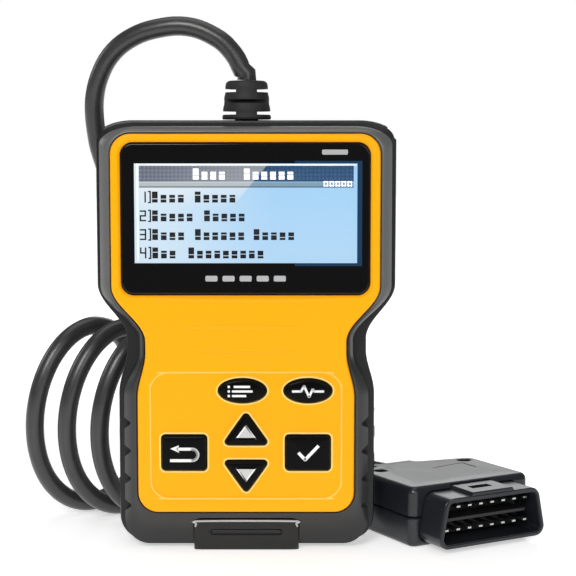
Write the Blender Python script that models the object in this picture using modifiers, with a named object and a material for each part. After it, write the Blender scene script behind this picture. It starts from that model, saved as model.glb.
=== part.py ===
"""Handheld fault-code reader with a coiled-away lead and a sixteen-pin diagnostic plug.

Metres, +Z up. The reader stands upright on its port cover with the screen towards -Y, and the
origin is under the middle of it. The plug lies flat beside it and the lead's slack leans on its back.
"""

import math

import bmesh
import bpy
from mathutils import Matrix, Vector

# Reader body: half widths from the middle plane, heights from the floor, depths along Y
BODY_HALF_TOP = 0.0427
BODY_HALF_WAIST = 0.0344
BODY_HALF_LOW = 0.0368
BODY_TOP = 0.1223
BODY_BOTTOM = 0.0010
BODY_DEPTH = 0.0230
HIP_Z = 0.0440
WAIST_LOW_Z = 0.0570
WAIST_HIGH_Z = 0.0600
SHOULDER_Z = 0.0757
BODY_TOP_CORNER = (0.0107, 0.0053)
BODY_LOW_CORNER = (0.0071, 0.0074)
BACK_EDGE_ROUND = 0.0060
BACK_WALL = 0.0020
LIP_WIDTH = 0.0060
LIP_THICK = 0.0020
SPLIT_FROM_FRONT = 0.0080

# Front bezel, set in from the body's outline
BEZEL_INSET_SIDE = 0.0015
BEZEL_INSET_WAIST = 0.0040
BEZEL_INSET_LOW = 0.0020
BEZEL_INSET_TOP = 0.0018
BEZEL_INSET_BOTTOM = 0.0002
BEZEL_WALL = 0.0030
BEZEL_FACE_WALL = 0.0020
BEZEL_EDGE_ROUND = 0.0013
BEZEL_SINK = 0.0008

# Front panel, set in from the bezel's outline
PANEL_INSET_SIDE = 0.0034
PANEL_INSET_WAIST = 0.0020
PANEL_INSET_LOW = 0.0041
PANEL_INSET_TOP = 0.0021
PANEL_INSET_BOTTOM = 0.0099
PANEL_THICK = 0.0019
PANEL_CORNER = 0.0057
PANEL_EDGE_ROUND = 0.0005
KEYPAD_SINK = 0.0003

# Display
WINDOW_BORDER = 0.0030
WINDOW_TOP_BORDER = 0.0026
WINDOW_HEIGHT = 0.0424
WINDOW_CORNER = 0.0032
WINDOW_THICK = 0.0015
SCREEN_WIDTH = 0.0640
SCREEN_HEIGHT = 0.0292
SCREEN_FROM_WINDOW_TOP = 0.0051
LCD_BORDER = 0.0020
LCD_WALL = 0.0010
LCD_GLASS_THICK = 0.0018
LCD_LAMP_THICK = 0.0014

# Keys: centre x, centre z and size of each
KEY_TRAVEL = 0.0006
KEY_PROUD = 0.0011
KEY_FLANGE = 0.0008
KEY_FLANGE_THICK = 0.0008
STEM_RADIUS = 0.0016
OVAL_KEY = (0.0134, 0.0066)
OVAL_ROW_Z = 0.0461
BLOCK_KEY = (0.0125, 0.0099)
BLOCK_KEY_CORNER = 0.0007
ARROW_HALF_WIDTH = 0.0065
ARROW_HEIGHT = 0.0092
ARROW_GAP = 0.0047
KEY_ROW_Z = 0.02835
KEY_COLUMN_X = 0.01755
OVAL_LEFT_X = -0.0010
KEYPAD_HALF_WIDTH = 0.0268
KEYPAD_LOW = 0.0153
KEYPAD_HIGH = 0.0511
KEYPAD_CORNER = 0.0050

# Switches under the keys
SWITCH_SIDE = 0.0060
SWITCH_THICK = 0.0023
SWITCH_FLOOR = 0.0005
PLUNGER_RADIUS = 0.0017
PLUNGER_PROUD = 0.0011

# Circuit board and what it carries
BOARD_THICK = 0.0016
BOARD_INSET = 0.0070
BOARD_SCREW_X = 0.0215
BOARD_SCREW_Z = 0.0575
POST_RADIUS = 0.0023
CHIP_CORNER = 0.0004
CHIP_BEVEL = 0.0003
PROCESSOR = ((0.0, 0.0480), (0.0120, 0.0120), 0.0015)  # place, size and thickness
INTERFACE = ((-0.0120, 0.0700), (0.0060, 0.0090), 0.0016)
REGULATOR = ((0.0180, 0.0880), (0.0066, 0.0062), 0.0023)
CRYSTAL = ((0.0140, 0.0440), (0.0045, 0.0110), 0.0034)
BUZZER = ((-0.0150, 0.0300), 0.0060, 0.0050)  # place, radius and thickness
CAPACITOR = ((0.0200, 0.0720), 0.0032, 0.0058)
SOCKET_FROM_EDGE = 0.0006
SOCKET_HEIGHT = 0.0092
HEADER_FROM_TOP = 0.0253
HEADER_SIZE = (0.0130, 0.0056)
HEADER_THICK = 0.0026
CONNECTOR_SIZE = (0.0124, 0.0052)
CONNECTOR_THICK = 0.0030
LEADS_HALF_LOW = 0.0050
LEADS_HALF_HIGH = 0.0024
LEADS_THICK = 0.0016
RIBBON_HALF_WIDTH = 0.0120
RIBBON_THICK = 0.0003
RIBBON_DROP = 0.0080

# Screws that hold the two halves of the reader together
BOSS_RADIUS = 0.0028
BACK_BOSS_RADIUS = 0.0042
SCREW_PLACES = ((0.0330, 0.0758), (0.0240, 0.0105))
SCREW_SHAFT = 0.00125
SCREW_HEAD = 0.0026
SCREW_HEAD_THICK = 0.0018
SCREW_LENGTH = 0.0100
BOSS_REACH = 0.0036
SCREW_SEAT_THICK = 0.0024
SMALL_SHAFT = 0.0009
SMALL_HEAD = 0.0019
SMALL_HEAD_THICK = 0.0012
SMALL_LENGTH = 0.0048
CROSS_WIDTH = 0.0006

# Side grips
GRIP_LOW = 0.0082
GRIP_HIGH = 0.0412
GRIP_NOTCHES = (0.0126, 0.0204, 0.0284, 0.0364)
GRIP_PROUD = 0.0003
GRIP_DIP = 0.0007
POCKET_DEPTH = 0.0013
GRIP_DEPTH = 0.0064
GRIP_FROM_SPLIT = 0.0015
GRIP_DIP_REACH = 0.0016
NOTCH_DEPTH = 0.0022
NOTCH_HALF_HEIGHT = 0.0024
NOTCH_CORNER = 0.0006

# Port cover, which the reader stands on
COVER_HALF_WIDTH = 0.0150
COVER_HEIGHT = 0.0090
COVER_THICK = 0.0015
COVER_LENGTH = 0.0182
COVER_PROUD = 0.0002
COVER_BEVEL = 0.0006
COVER_SLOT_HALF_WIDTH = 0.0104
COVER_SLOT_LOW = 0.0043
COVER_SLOT_HIGH = 0.0062
COVER_SLOT_CORNER = 0.0006
PORT_HALF_WIDTH = 0.0038
PORT_THICK = 0.0038

# Rating label on the back
LABEL_HALF_WIDTH = 0.0230
LABEL_LOW = 0.0620
LABEL_HIGH = 0.1000
LABEL_THICK = 0.0005

# Strain relief on top
RELIEF_BASE_RADIUS = 0.00685
RELIEF_TIP_RADIUS = 0.0057
RELIEF_HEIGHT = 0.0110
RELIEF_NECK = 0.0034
RELIEF_COLLAR = 0.0042
RELIEF_WEB = 0.0029
RELIEF_SLOT = 0.0009
RELIEF_COLLAR_THICK = 0.0020
RELIEF_SLOTS = ((0.12, 0), (0.42, 1), (0.70, 0))  # height as a share, and whether it is cut along Y

# Lead
CORD_DIAMETER = 0.0056
STRAIGHT = 0.0020
COIL_RADIUS = 0.0215
COIL_RISE = 0.0288
COIL_TURNS = 3
COIL_YAW = math.radians(42.0)
COIL_LEAN = math.radians(10.0)
COIL_X = -0.0232
COIL_BEHIND_BACK = 0.0120
COIL_HEIGHT = 0.0312
COIL_STEP = Vector((-0.0104, 0.0044, 0.0))
COIL_WALL_SHARE = 1.5
COIL_ENTRY = 0.0200

# Plug: its own X runs across, Y runs back along the lead and Z up
PLUG_YAW = math.radians(29.7)
PLUG_GAP = 0.00206
PLUG_BEHIND_FRONT = 0.0022
PLUG_HALF_WIDTH = 0.02125
PLUG_LENGTH = 0.0440
PLUG_HEIGHT = 0.0175
PLUG_SPLIT = 0.0086
PLUG_WALL = 0.0020
PLUG_NECK_HALF = 0.0085
PLUG_SHOULDER = 0.0270
PLUG_NECK_LENGTH = 0.0030
PLUG_CORNER = 0.0025
PLUG_CEILING = 0.0132
PLUG_REAR_DROP = 0.0025
PLUG_EDGE_ROUND = 0.0020
SHELL_HALF_LOW = 0.0192
SHELL_HALF_HIGH = 0.0163
SHELL_LOW = 0.0013
SHELL_HIGH = 0.0158
SHELL_CORNER = 0.0020
SHELL_WALL = 0.0013
SHELL_OUT = 0.0103
SHELL_IN = 0.0062
WIRE_WINDOW = (0.0200, 0.0050)
CARRIER_DEPTH = 0.0048
PIN_PITCH = 0.0040
PIN_COLUMNS = 8
PIN_ROWS_Z = (0.0058, 0.0124)
PIN_SIZE = (0.0015, 0.0008)
PIN_REACH = 0.0072
PIN_TAPER = 0.0006
RIB_Z = 0.0089
RIB_THICK = 0.0009
RIB_HALF_WIDTH = 0.0140
BOOT_LENGTH = 0.0177
BOOT_BASE_RADIUS = 0.0052
BOOT_TIP_RADIUS = 0.0036
BOOT_NECK = 0.0034
BOOT_COLLAR = 0.0040
BOOT_COLLAR_LENGTH = 0.0018
BOOT_RINGS = 4
PLUG_SCREW_X = 0.0155
PLUG_SCREW_Y = 0.0250
PLUG_SCREW_LENGTH = 0.0070
PLUG_STUB_RADIUS = 0.0030
PLUG_STUB_FLOOR = 0.0010
PLUG_PILOT_FLOOR = 0.0028
PLUG_BOSS_RADIUS = 0.0034
PLUG_SEAT_THICK = 0.0020
PLUG_SLOPE_START = 0.0230

GAP = 0.0003  # clearance that pieces which touch keep
LAP = 0.0010  # how far a cutter passes the faces that it opens
FAR = 0.0500  # half the size of a cutter that is wider than what it cuts
FACING_BACK = (-math.pi / 2, 0.0, 0.0)  # a turned piece's top towards +Y

# Worked out from the sizes above
FRONT = -(BODY_DEPTH - KEY_PROUD) / 2  # the key tops and the back are equally far from the origin
BACK = FRONT + BODY_DEPTH
PANEL_BACK = FRONT + PANEL_THICK
BEZEL_SEAT = PANEL_BACK + GAP
BEZEL_INSIDE = BEZEL_SEAT + BEZEL_FACE_WALL
BEZEL_FRONT = FRONT + BEZEL_SINK
SPLIT = FRONT + SPLIT_FROM_FRONT
LIP_BACK = SPLIT + LIP_THICK
LCD_FRONT = BEZEL_INSIDE + GAP
LCD_BACK = LCD_FRONT + LCD_GLASS_THICK + GAP + LCD_LAMP_THICK
BOARD_FRONT = LCD_BACK + 2 * GAP
BOARD_BACK = BOARD_FRONT + BOARD_THICK
BEHIND_BOARD = BOARD_BACK + GAP
RELIEF_Y = (LIP_BACK + BACK - BACK_WALL) / 2
RELIEF_BASE_Z = BODY_TOP + GAP
RELIEF_TIP_Z = RELIEF_BASE_Z + RELIEF_HEIGHT
CORD_EXIT = Vector((0.0, RELIEF_Y, RELIEF_TIP_Z + GAP))
WINDOW_HIGH = BODY_TOP - BEZEL_INSET_TOP - PANEL_INSET_TOP - WINDOW_TOP_BORDER
WINDOW_LOW = WINDOW_HIGH - WINDOW_HEIGHT
SCREEN_HIGH = WINDOW_HIGH - SCREEN_FROM_WINDOW_TOP
SCREEN_LOW = SCREEN_HIGH - SCREEN_HEIGHT
PLUG_AXIS_Z = PLUG_HEIGHT / 2
PLUG_BESIDE = (BODY_DEPTH - BACK_EDGE_ROUND - PLUG_BEHIND_FRONT) * math.tan(PLUG_YAW)
PLUG_CORNER_PLACE = Vector((BODY_HALF_LOW + PLUG_BESIDE + PLUG_GAP, FRONT + PLUG_BEHIND_FRONT, 0.0))
COIL_START = Vector((COIL_X, BACK + COIL_BEHIND_BACK, COIL_HEIGHT))
GRIP_FRONT = SPLIT + BEZEL_SINK + GAP + GRIP_FROM_SPLIT
BOSS_MEET = LIP_BACK + BOSS_REACH
SCREW_SEAT = BOSS_MEET + GAP + SCREW_SEAT_THICK
COVER_FRONT = BEZEL_FRONT - COVER_PROUD
COVER_BACK = COVER_FRONT + COVER_THICK
COVER_FLOOR = BODY_BOTTOM - GAP
SWITCH_BACK = BOARD_FRONT - GAP
SWITCH_FRONT = SWITCH_BACK - SWITCH_THICK
PLUNGER_TIP = SWITCH_FRONT - PLUNGER_PROUD
WELL_FLOOR = SWITCH_BACK - SWITCH_FLOOR
HEADER_Z = BODY_TOP - HEADER_FROM_TOP
CONNECTOR_FRONT = BEHIND_BOARD + HEADER_THICK + GAP


# Outlines: lists of (across, up) points, anticlockwise -----------------------------------------


def arc(centre, radii, start, end, steps):
    """Points on a quarter or part of an ellipse, from start to end degrees."""
    points = []
    for i in range(steps + 1):
        a = math.radians(start + (end - start) * i / steps)
        points.append((centre[0] + radii[0] * math.cos(a), centre[1] + radii[1] * math.sin(a)))
    return points


def ease(start, end, steps):
    """An S curve that leaves start and reaches end straight up."""
    points = []
    for i in range(steps + 1):
        share = i / steps
        blend = (1 - math.cos(math.pi * share)) / 2
        points.append((start[0] + (end[0] - start[0]) * blend, start[1] + (end[1] - start[1]) * share))
    return points


def mirrored(right):
    """The whole outline from its right side, which runs upwards."""
    return right + [(-x, z) for x, z in reversed(right)]


def waisted(half_top, half_waist, half_low, top, bottom, top_corner, low_corner, inset=0.0):
    """The reader's outline: a wide head, a waist and a narrower handle."""
    least = 0.0008
    top_x, top_z = (max(r - inset, least) for r in top_corner)
    low_x, low_z = (max(r - inset, least) for r in low_corner)
    head, waist, low = half_top - inset, half_waist - inset, half_low - inset
    high, floor = top - inset, bottom + inset
    right = arc((low - low_x, floor + low_z), (low_x, low_z), -90, 0, 4)
    right += ease((low, HIP_Z), (waist, WAIST_LOW_Z), 4)
    right += ease((waist, WAIST_HIGH_Z), (head, SHOULDER_Z), 6)
    right += arc((head - top_x, high - top_z), (top_x, top_z), 0, 90, 4)
    return mirrored(right)


def body_outline(inset=0.0):
    return waisted(BODY_HALF_TOP, BODY_HALF_WAIST, BODY_HALF_LOW, BODY_TOP, BODY_BOTTOM,
                   BODY_TOP_CORNER, BODY_LOW_CORNER, inset)


def bezel_outline(inset=0.0):
    return waisted(
        BODY_HALF_TOP - BEZEL_INSET_SIDE, BODY_HALF_WAIST - BEZEL_INSET_WAIST,
        BODY_HALF_LOW - BEZEL_INSET_LOW, BODY_TOP - BEZEL_INSET_TOP,
        BODY_BOTTOM + BEZEL_INSET_BOTTOM, BODY_TOP_CORNER, BODY_LOW_CORNER, inset)


def panel_outline(inset=0.0):
    corner = (PANEL_CORNER, PANEL_CORNER)
    return waisted(
        BODY_HALF_TOP - BEZEL_INSET_SIDE - PANEL_INSET_SIDE,
        BODY_HALF_WAIST - BEZEL_INSET_WAIST - PANEL_INSET_WAIST,
        BODY_HALF_LOW - BEZEL_INSET_LOW - PANEL_INSET_LOW,
        BODY_TOP - BEZEL_INSET_TOP - PANEL_INSET_TOP,
        BODY_BOTTOM + BEZEL_INSET_BOTTOM + PANEL_INSET_BOTTOM, corner, corner, inset)


def rounded(corners, radius, grow=0.0, steps=3):
    """A convex outline with its corners rounded, moved outwards by grow."""
    points = []
    count = len(corners)
    for i in range(count):
        before, here, after = (Vector(corners[(i + k) % count]) for k in (-1, 0, 1))
        back, on = (before - here).normalized(), (after - here).normalized()
        half = back.angle(on) / 2
        inward = (back + on).normalized()
        centre = here + inward * (radius / math.sin(half))
        normal_in = Vector((-back.y, back.x))
        normal_out = Vector((on.y, -on.x))
        first = math.atan2(normal_in.y, normal_in.x)
        turn = (math.atan2(normal_out.y, normal_out.x) - first) % (2 * math.pi)
        for k in range(steps + 1):
            a = first + turn * k / steps
            points.append(tuple(centre + Vector((math.cos(a), math.sin(a))) * (radius + grow)))
    return points


def rectangle(low, high, radius=0.001, grow=0.0, steps=3):
    corners = [(low[0], low[1]), (high[0], low[1]), (high[0], high[1]), (low[0], high[1])]
    return rounded(corners, radius, grow, steps)


def oval(centre, size, grow=0.0, steps=20):
    points = arc(centre, (size[0] / 2 + grow, size[1] / 2 + grow), 0, 360, steps)
    return points[:-1]


def circle(centre, radius, steps=12):
    return arc(centre, (radius, radius), 0, 360, steps)[:-1]


def square(centre, half, steps=16):
    """A square whose points face those of a circle with as many steps."""
    points = []
    for x, z in circle((0.0, 0.0), 1.0, steps):
        reach = half / max(abs(x), abs(z))
        points.append((centre[0] + x * reach, centre[1] + z * reach))
    return points


# Solids -----------------------------------------------------------------------------------------


def clear_scene():
    for obj in list(bpy.data.objects):
        bpy.data.objects.remove(obj, do_unlink=True)


def new_collection(name):
    made = bpy.data.collections.new(name)
    bpy.context.scene.collection.children.link(made)
    return made


def finish_of(name, color, roughness, metallic=0.0):
    """A Principled material."""
    made = bpy.data.materials.new(name)
    made.use_nodes = True
    shader = made.node_tree.nodes["Principled BSDF"]
    shader.inputs["Base Color"].default_value = (*color, 1.0)
    shader.inputs["Roughness"].default_value = roughness
    shader.inputs["Metallic"].default_value = metallic
    return made


def placed(name, data, finish, frame=None):
    """Links a new object; without a finish it is a cutter, which isn't part of the model."""
    obj = bpy.data.objects.new(name, data)
    if finish is None:
        cutters.objects.link(obj)
        obj.hide_render = True
        obj.display_type = "WIRE"
    else:
        parts.objects.link(obj)
        data.materials.append(finish)
    obj.parent = frame
    return obj


def solid(name, rings, finish=None, frame=None):
    """A closed loft through rings of equally many 3-D points, with its first and last ring filled."""
    bm = bmesh.new()
    rows = [[bm.verts.new(p) for p in ring] for ring in rings]
    count = len(rows[0])
    for low, high in zip(rows, rows[1:]):
        for i in range(count):
            j = (i + 1) % count
            bm.faces.new((low[i], low[j], high[j], high[i]))
    bm.faces.new(rows[0])
    bm.faces.new(rows[-1])
    bmesh.ops.recalc_face_normals(bm, faces=bm.faces)
    mesh = bpy.data.meshes.new(name)
    bm.to_mesh(mesh)
    bm.free()
    mesh.shade_smooth()
    mesh.set_sharp_from_angle(angle=math.radians(35))
    return placed(name, mesh, finish, frame)


def at_depth(outline, y):
    """An outline drawn across and up, stood at a depth."""
    return [(x, y, z) for x, z in outline]


def at_height(outline, z):
    """An outline drawn across and back, laid at a height."""
    return [(x, y, z) for x, y in outline]


def slab(name, outline, front, back, finish=None, frame=None):
    return solid(name, [at_depth(outline, front), at_depth(outline, back)], finish, frame)


def rod(name, centre, radius, front, back, finish=None, frame=None, steps=12):
    """A round bar along Y."""
    return slab(name, circle(centre, radius, steps), front, back, finish, frame)


def turned(name, profile, place, rotation, finish=None, frame=None, steps=20):
    """A turned piece: its profile is (radius, height) from top to bottom, with both ends on the axis."""
    mesh = bpy.data.meshes.new(name)
    points = [(r, 0.0, h) for r, h in profile]
    mesh.from_pydata(points, [(i, i + 1) for i in range(len(points) - 1)], [])
    obj = placed(name, mesh, finish, frame)
    screw = obj.modifiers.new("Turn", "SCREW")
    screw.steps = screw.render_steps = steps
    screw.use_merge_vertices = True
    screw.merge_threshold = 0.00001
    screw.use_smooth_shade = True
    obj.location = place
    obj.rotation_euler = rotation
    return obj


def recentred(obj, place):
    """Moves the object's origin to a place and leaves its shape where it is."""
    obj.data.transform(Matrix.Translation(-Vector(place)))
    obj.location = place
    return obj


def combine(obj, other, operation="DIFFERENCE"):
    step = obj.modifiers.new(other.name, "BOOLEAN")
    step.operation = operation
    step.object = other


def combine_all(obj, others, operation="DIFFERENCE"):
    for other in others:
        combine(obj, other, operation)


def tube(name, points, finish, frame=None):
    """A round cord along the points."""
    curve = bpy.data.curves.new(name, "CURVE")
    curve.dimensions = "3D"
    curve.bevel_depth = CORD_DIAMETER / 2
    curve.bevel_resolution = 2
    curve.use_fill_caps = True
    spline = curve.splines.new("POLY")
    spline.points.add(len(points) - 1)
    for spot, place in zip(spline.points, points):
        spot.co = (*place, 1.0)
    return placed(name, curve, finish, frame)


# The reader's housing ---------------------------------------------------------------------------


def back_edge_rings():
    """The rounded edge between the housing's side and its back."""
    rings = []
    for i in range(4):
        a = math.radians(90 * i / 3)
        rings.append(at_depth(
            body_outline(BACK_EDGE_ROUND * (1 - math.cos(a))),
            BACK - BACK_EDGE_ROUND + BACK_EDGE_ROUND * math.sin(a)))
    return rings


def screw_spots():
    return [(side * x, z) for x, z in SCREW_PLACES for side in (-1, 1)]


def back_housing():
    hollow_round = BACK_EDGE_ROUND / 4
    rings = [
        at_depth(body_outline(BACK_WALL + hollow_round), BACK - BACK_WALL),
        at_depth(body_outline(BACK_WALL), BACK - BACK_WALL - hollow_round),
        at_depth(body_outline(BACK_WALL), LIP_BACK),
        at_depth(body_outline(LIP_WIDTH), LIP_BACK),
        at_depth(body_outline(LIP_WIDTH), SPLIT),
        at_depth(body_outline(BEZEL_SINK), SPLIT),
        at_depth(body_outline(), SPLIT + BEZEL_SINK),
    ] + back_edge_rings()
    housing = solid("back_housing", rings, dark_plastic)
    for i, (x, z) in enumerate(screw_spots()):
        boss = rod(f"back_boss_{i}", (x, z), BACK_BOSS_RADIUS, BOSS_MEET + GAP, BACK - BACK_WALL / 2)
        combine(housing, boss, "UNION")
        bore = turned(f"back_bore_{i}", [
            (0.0, BACK + LAP), (SCREW_HEAD + GAP, BACK + LAP), (SCREW_HEAD + GAP, SCREW_SEAT),
            (SCREW_SHAFT + GAP, SCREW_SEAT), (SCREW_SHAFT + GAP, BOSS_MEET - LAP), (0.0, BOSS_MEET - LAP)],
            (x, 0.0, z), FACING_BACK, steps=12)
        combine(housing, bore)
    combine(housing, turned("relief_hole", [
        (0.0, BODY_TOP + LAP), (RELIEF_NECK + GAP, BODY_TOP + LAP),
        (RELIEF_NECK + GAP, BODY_TOP - BACK_WALL - LAP), (0.0, BODY_TOP - BACK_WALL - LAP)],
        (0.0, RELIEF_Y, 0.0), (0.0, 0.0, 0.0)))
    for side in (-1, 1):
        combine(housing, grip_pocket(side))
    label_cut = rectangle((-LABEL_HALF_WIDTH, LABEL_LOW), (LABEL_HALF_WIDTH, LABEL_HIGH), 0.002, GAP)
    combine(housing, slab("label_cut", label_cut, BACK - LABEL_THICK - GAP, BACK + LAP))
    port = rectangle((-PORT_HALF_WIDTH, BEHIND_BOARD), (PORT_HALF_WIDTH, BEHIND_BOARD + PORT_THICK),
                     0.0004, GAP, 2)
    heights = (BODY_BOTTOM - LAP, BODY_BOTTOM + BACK_WALL + LAP)
    combine(housing, solid("port_cut", [at_height(port, h) for h in heights]))
    return housing


def grip_outline(side):
    """The side grip seen from the front: straight inside, dipped at each notch outside."""
    inner = BODY_HALF_LOW - POCKET_DEPTH + GAP
    outer = BODY_HALF_LOW + GRIP_PROUD
    reach = GRIP_DIP_REACH
    right = [(inner, GRIP_LOW), (outer - GRIP_DIP, GRIP_LOW)]
    for z in GRIP_NOTCHES:
        right += [(outer, z - 2 * reach), (outer - GRIP_DIP * 0.5, z - reach * 0.8),
                  (outer - GRIP_DIP, z), (outer - GRIP_DIP * 0.5, z + reach * 0.8)]
    right += [(outer, GRIP_NOTCHES[-1] + 2 * reach), (outer - GRIP_DIP, GRIP_HIGH), (inner, GRIP_HIGH)]
    return [(side * x, z) for x, z in right]


def grip_pocket(side):
    inner = BODY_HALF_LOW - POCKET_DEPTH
    low, high = sorted((side * inner, side * (BODY_HALF_LOW + LAP)))
    outline = rectangle((low, GRIP_LOW - GAP), (high, GRIP_HIGH + GAP), 0.0002, 0.0, 1)
    return slab(f"grip_pocket_{side}", outline, GRIP_FRONT - GAP, GRIP_FRONT + GRIP_DEPTH + GAP)


def grips():
    for side, name in ((-1, "grip_left"), (1, "grip_right")):
        solid(name, [at_depth(grip_outline(side), GRIP_FRONT),
                     at_depth(grip_outline(side), GRIP_FRONT + GRIP_DEPTH)], rubber)


def front_bezel():
    """The front half of the housing: a deep frame with a seat for the panel."""
    rings = [
        at_depth(panel_outline(-GAP), BEZEL_SEAT),
        at_depth(panel_outline(-GAP), BEZEL_FRONT),
    ]
    for i in range(3):
        a = math.radians(90 * i / 2)
        rings.append(at_depth(
            bezel_outline(BEZEL_EDGE_ROUND * (1 - math.sin(a))),
            BEZEL_FRONT + BEZEL_EDGE_ROUND * (1 - math.cos(a))))
    rings += [
        at_depth(bezel_outline(), SPLIT - GAP),
        at_depth(bezel_outline(BEZEL_WALL), SPLIT - GAP),
        at_depth(bezel_outline(BEZEL_WALL), BEZEL_INSIDE),
    ]
    bezel = solid("front_bezel", rings, bezel_plastic)
    deep = BEZEL_SEAT - LAP, BEZEL_INSIDE + LAP
    screen = rectangle((-SCREEN_WIDTH / 2, SCREEN_LOW), (SCREEN_WIDTH / 2, SCREEN_HIGH), 0.001)
    combine(bezel, slab("screen_cut", screen, *deep))
    pad = rectangle((-KEYPAD_HALF_WIDTH + LAP, KEYPAD_LOW), (KEYPAD_HALF_WIDTH - LAP, KEYPAD_HIGH), 0.003)
    combine(bezel, slab("keypad_cut", pad, *deep))
    for side in (-1, 1):
        for i, z in enumerate(GRIP_NOTCHES):
            edge = BODY_HALF_LOW - BEZEL_INSET_LOW
            half = NOTCH_HALF_HEIGHT * side
            corners = [(side * (edge - NOTCH_DEPTH), z), (side * (edge + LAP), z - half),
                       (side * (edge + LAP), z + half)]
            notch = slab(f"notch_{i}_{side}", rounded(corners, NOTCH_CORNER), BEZEL_FRONT - LAP, SPLIT)
            combine(bezel, notch)
    for i, (x, z) in enumerate(screw_spots()):
        combine(bezel, rod(f"boss_{i}", (x, z), BOSS_RADIUS, BEZEL_INSIDE - LAP, BOSS_MEET), "UNION")
        combine(bezel, rod(f"pilot_{i}", (x, z), SCREW_SHAFT + GAP, BEZEL_INSIDE + LAP, BOSS_MEET + LAP))
    for side in (-1, 1):
        spot = (side * BOARD_SCREW_X, BOARD_SCREW_Z)
        combine(bezel, rod(f"post_{side}", spot, POST_RADIUS, BEZEL_INSIDE - LAP, BOARD_FRONT - GAP), "UNION")
        combine(bezel, rod(f"post_pilot_{side}", spot, SMALL_SHAFT + GAP, BEZEL_INSIDE, BOARD_FRONT))
    cover = rectangle((-COVER_HALF_WIDTH, -LAP), (COVER_HALF_WIDTH, COVER_HEIGHT), 0.0005, GAP)
    combine(bezel, slab("cover_seat", cover, BEZEL_FRONT - LAP, COVER_BACK + GAP))
    return bezel


def front_panel():
    rings = [
        at_depth(panel_outline(), PANEL_BACK),
        at_depth(panel_outline(), FRONT + PANEL_EDGE_ROUND),
        at_depth(panel_outline(PANEL_EDGE_ROUND * 0.3), FRONT + PANEL_EDGE_ROUND * 0.3),
        at_depth(panel_outline(PANEL_EDGE_ROUND), FRONT),
    ]
    panel = solid("front_panel", rings, yellow_plastic)
    pad = rectangle((-KEYPAD_HALF_WIDTH, KEYPAD_LOW), (KEYPAD_HALF_WIDTH, KEYPAD_HIGH), KEYPAD_CORNER)
    combine(panel, slab("keypad_sink", pad, FRONT - LAP, FRONT + KEYPAD_SINK))
    window = window_outline(GAP)
    combine(panel, slab("window_cut", window, FRONT - LAP, PANEL_BACK + LAP))
    for name, outline, _ in key_shapes():
        combine(panel, slab(f"{name}_hole", outline(GAP), FRONT - LAP, PANEL_BACK + LAP))
    return panel


def window_outline(grow=0.0):
    half = BODY_HALF_TOP - BEZEL_INSET_SIDE - PANEL_INSET_SIDE - WINDOW_BORDER
    return rectangle((-half, WINDOW_LOW), (half, WINDOW_HIGH), WINDOW_CORNER, grow, 5)


def port_cover():
    """An angle: a plate on the front and a foot that the reader stands on."""
    back = COVER_FRONT + COVER_LENGTH
    section = [
        (COVER_FRONT + COVER_BEVEL, 0.0), (back, 0.0), (back, COVER_FLOOR), (COVER_BACK, COVER_FLOOR),
        (COVER_BACK, COVER_HEIGHT), (COVER_FRONT + COVER_BEVEL, COVER_HEIGHT),
        (COVER_FRONT, COVER_HEIGHT - COVER_BEVEL), (COVER_FRONT, COVER_BEVEL)]
    rings = [[(x, y, z) for y, z in section] for x in (-COVER_HALF_WIDTH, COVER_HALF_WIDTH)]
    cover = solid("port_cover", rings, dark_plastic)
    low, high = (-COVER_SLOT_HALF_WIDTH, COVER_SLOT_LOW), (COVER_SLOT_HALF_WIDTH, COVER_SLOT_HIGH)
    slot = rectangle(low, high, COVER_SLOT_CORNER)
    combine(cover, slab("cover_slot", slot, COVER_FRONT - LAP, COVER_FRONT + COVER_THICK / 2))
    return cover


def back_label():
    outline = rectangle((-LABEL_HALF_WIDTH, LABEL_LOW), (LABEL_HALF_WIDTH, LABEL_HIGH), 0.002)
    slab("back_label", outline, BACK - LABEL_THICK, BACK, label_film)


def strain_relief():
    """A tapered grommet, slotted so that it bends, with a collar inside the housing."""
    top, base = RELIEF_TIP_Z, RELIEF_BASE_Z
    inner = BODY_TOP - BACK_WALL - GAP
    relief = turned("strain_relief", [
        (0.0, top), (RELIEF_TIP_RADIUS - 0.0006, top), (RELIEF_TIP_RADIUS, top - 0.0006),
        (RELIEF_BASE_RADIUS, base), (RELIEF_NECK, base), (RELIEF_NECK, inner), (RELIEF_COLLAR, inner),
        (RELIEF_COLLAR, inner - RELIEF_COLLAR_THICK), (0.0, inner - RELIEF_COLLAR_THICK)],
        (0.0, RELIEF_Y, 0.0), (0.0, 0.0, 0.0), rubber, steps=20)
    far = RELIEF_BASE_RADIUS + LAP
    for share, along in RELIEF_SLOTS:
        z = base + RELIEF_HEIGHT * share
        for side in (-1, 1):
            low = [-far, RELIEF_Y - far]
            high = [far, RELIEF_Y + far]
            middle = (0.0, RELIEF_Y)[along]
            if side < 0:
                high[along] = middle - RELIEF_WEB
            else:
                low[along] = middle + RELIEF_WEB
            outline = rectangle(low, high, 0.0003, 0.0, 1)
            cutter = solid(f"relief_slot_{along}_{side}_{round(share * 100)}",
                           [at_height(outline, z), at_height(outline, z + RELIEF_SLOT)])
            combine(relief, cutter)
    return relief


# Display ----------------------------------------------------------------------------------------


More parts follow.
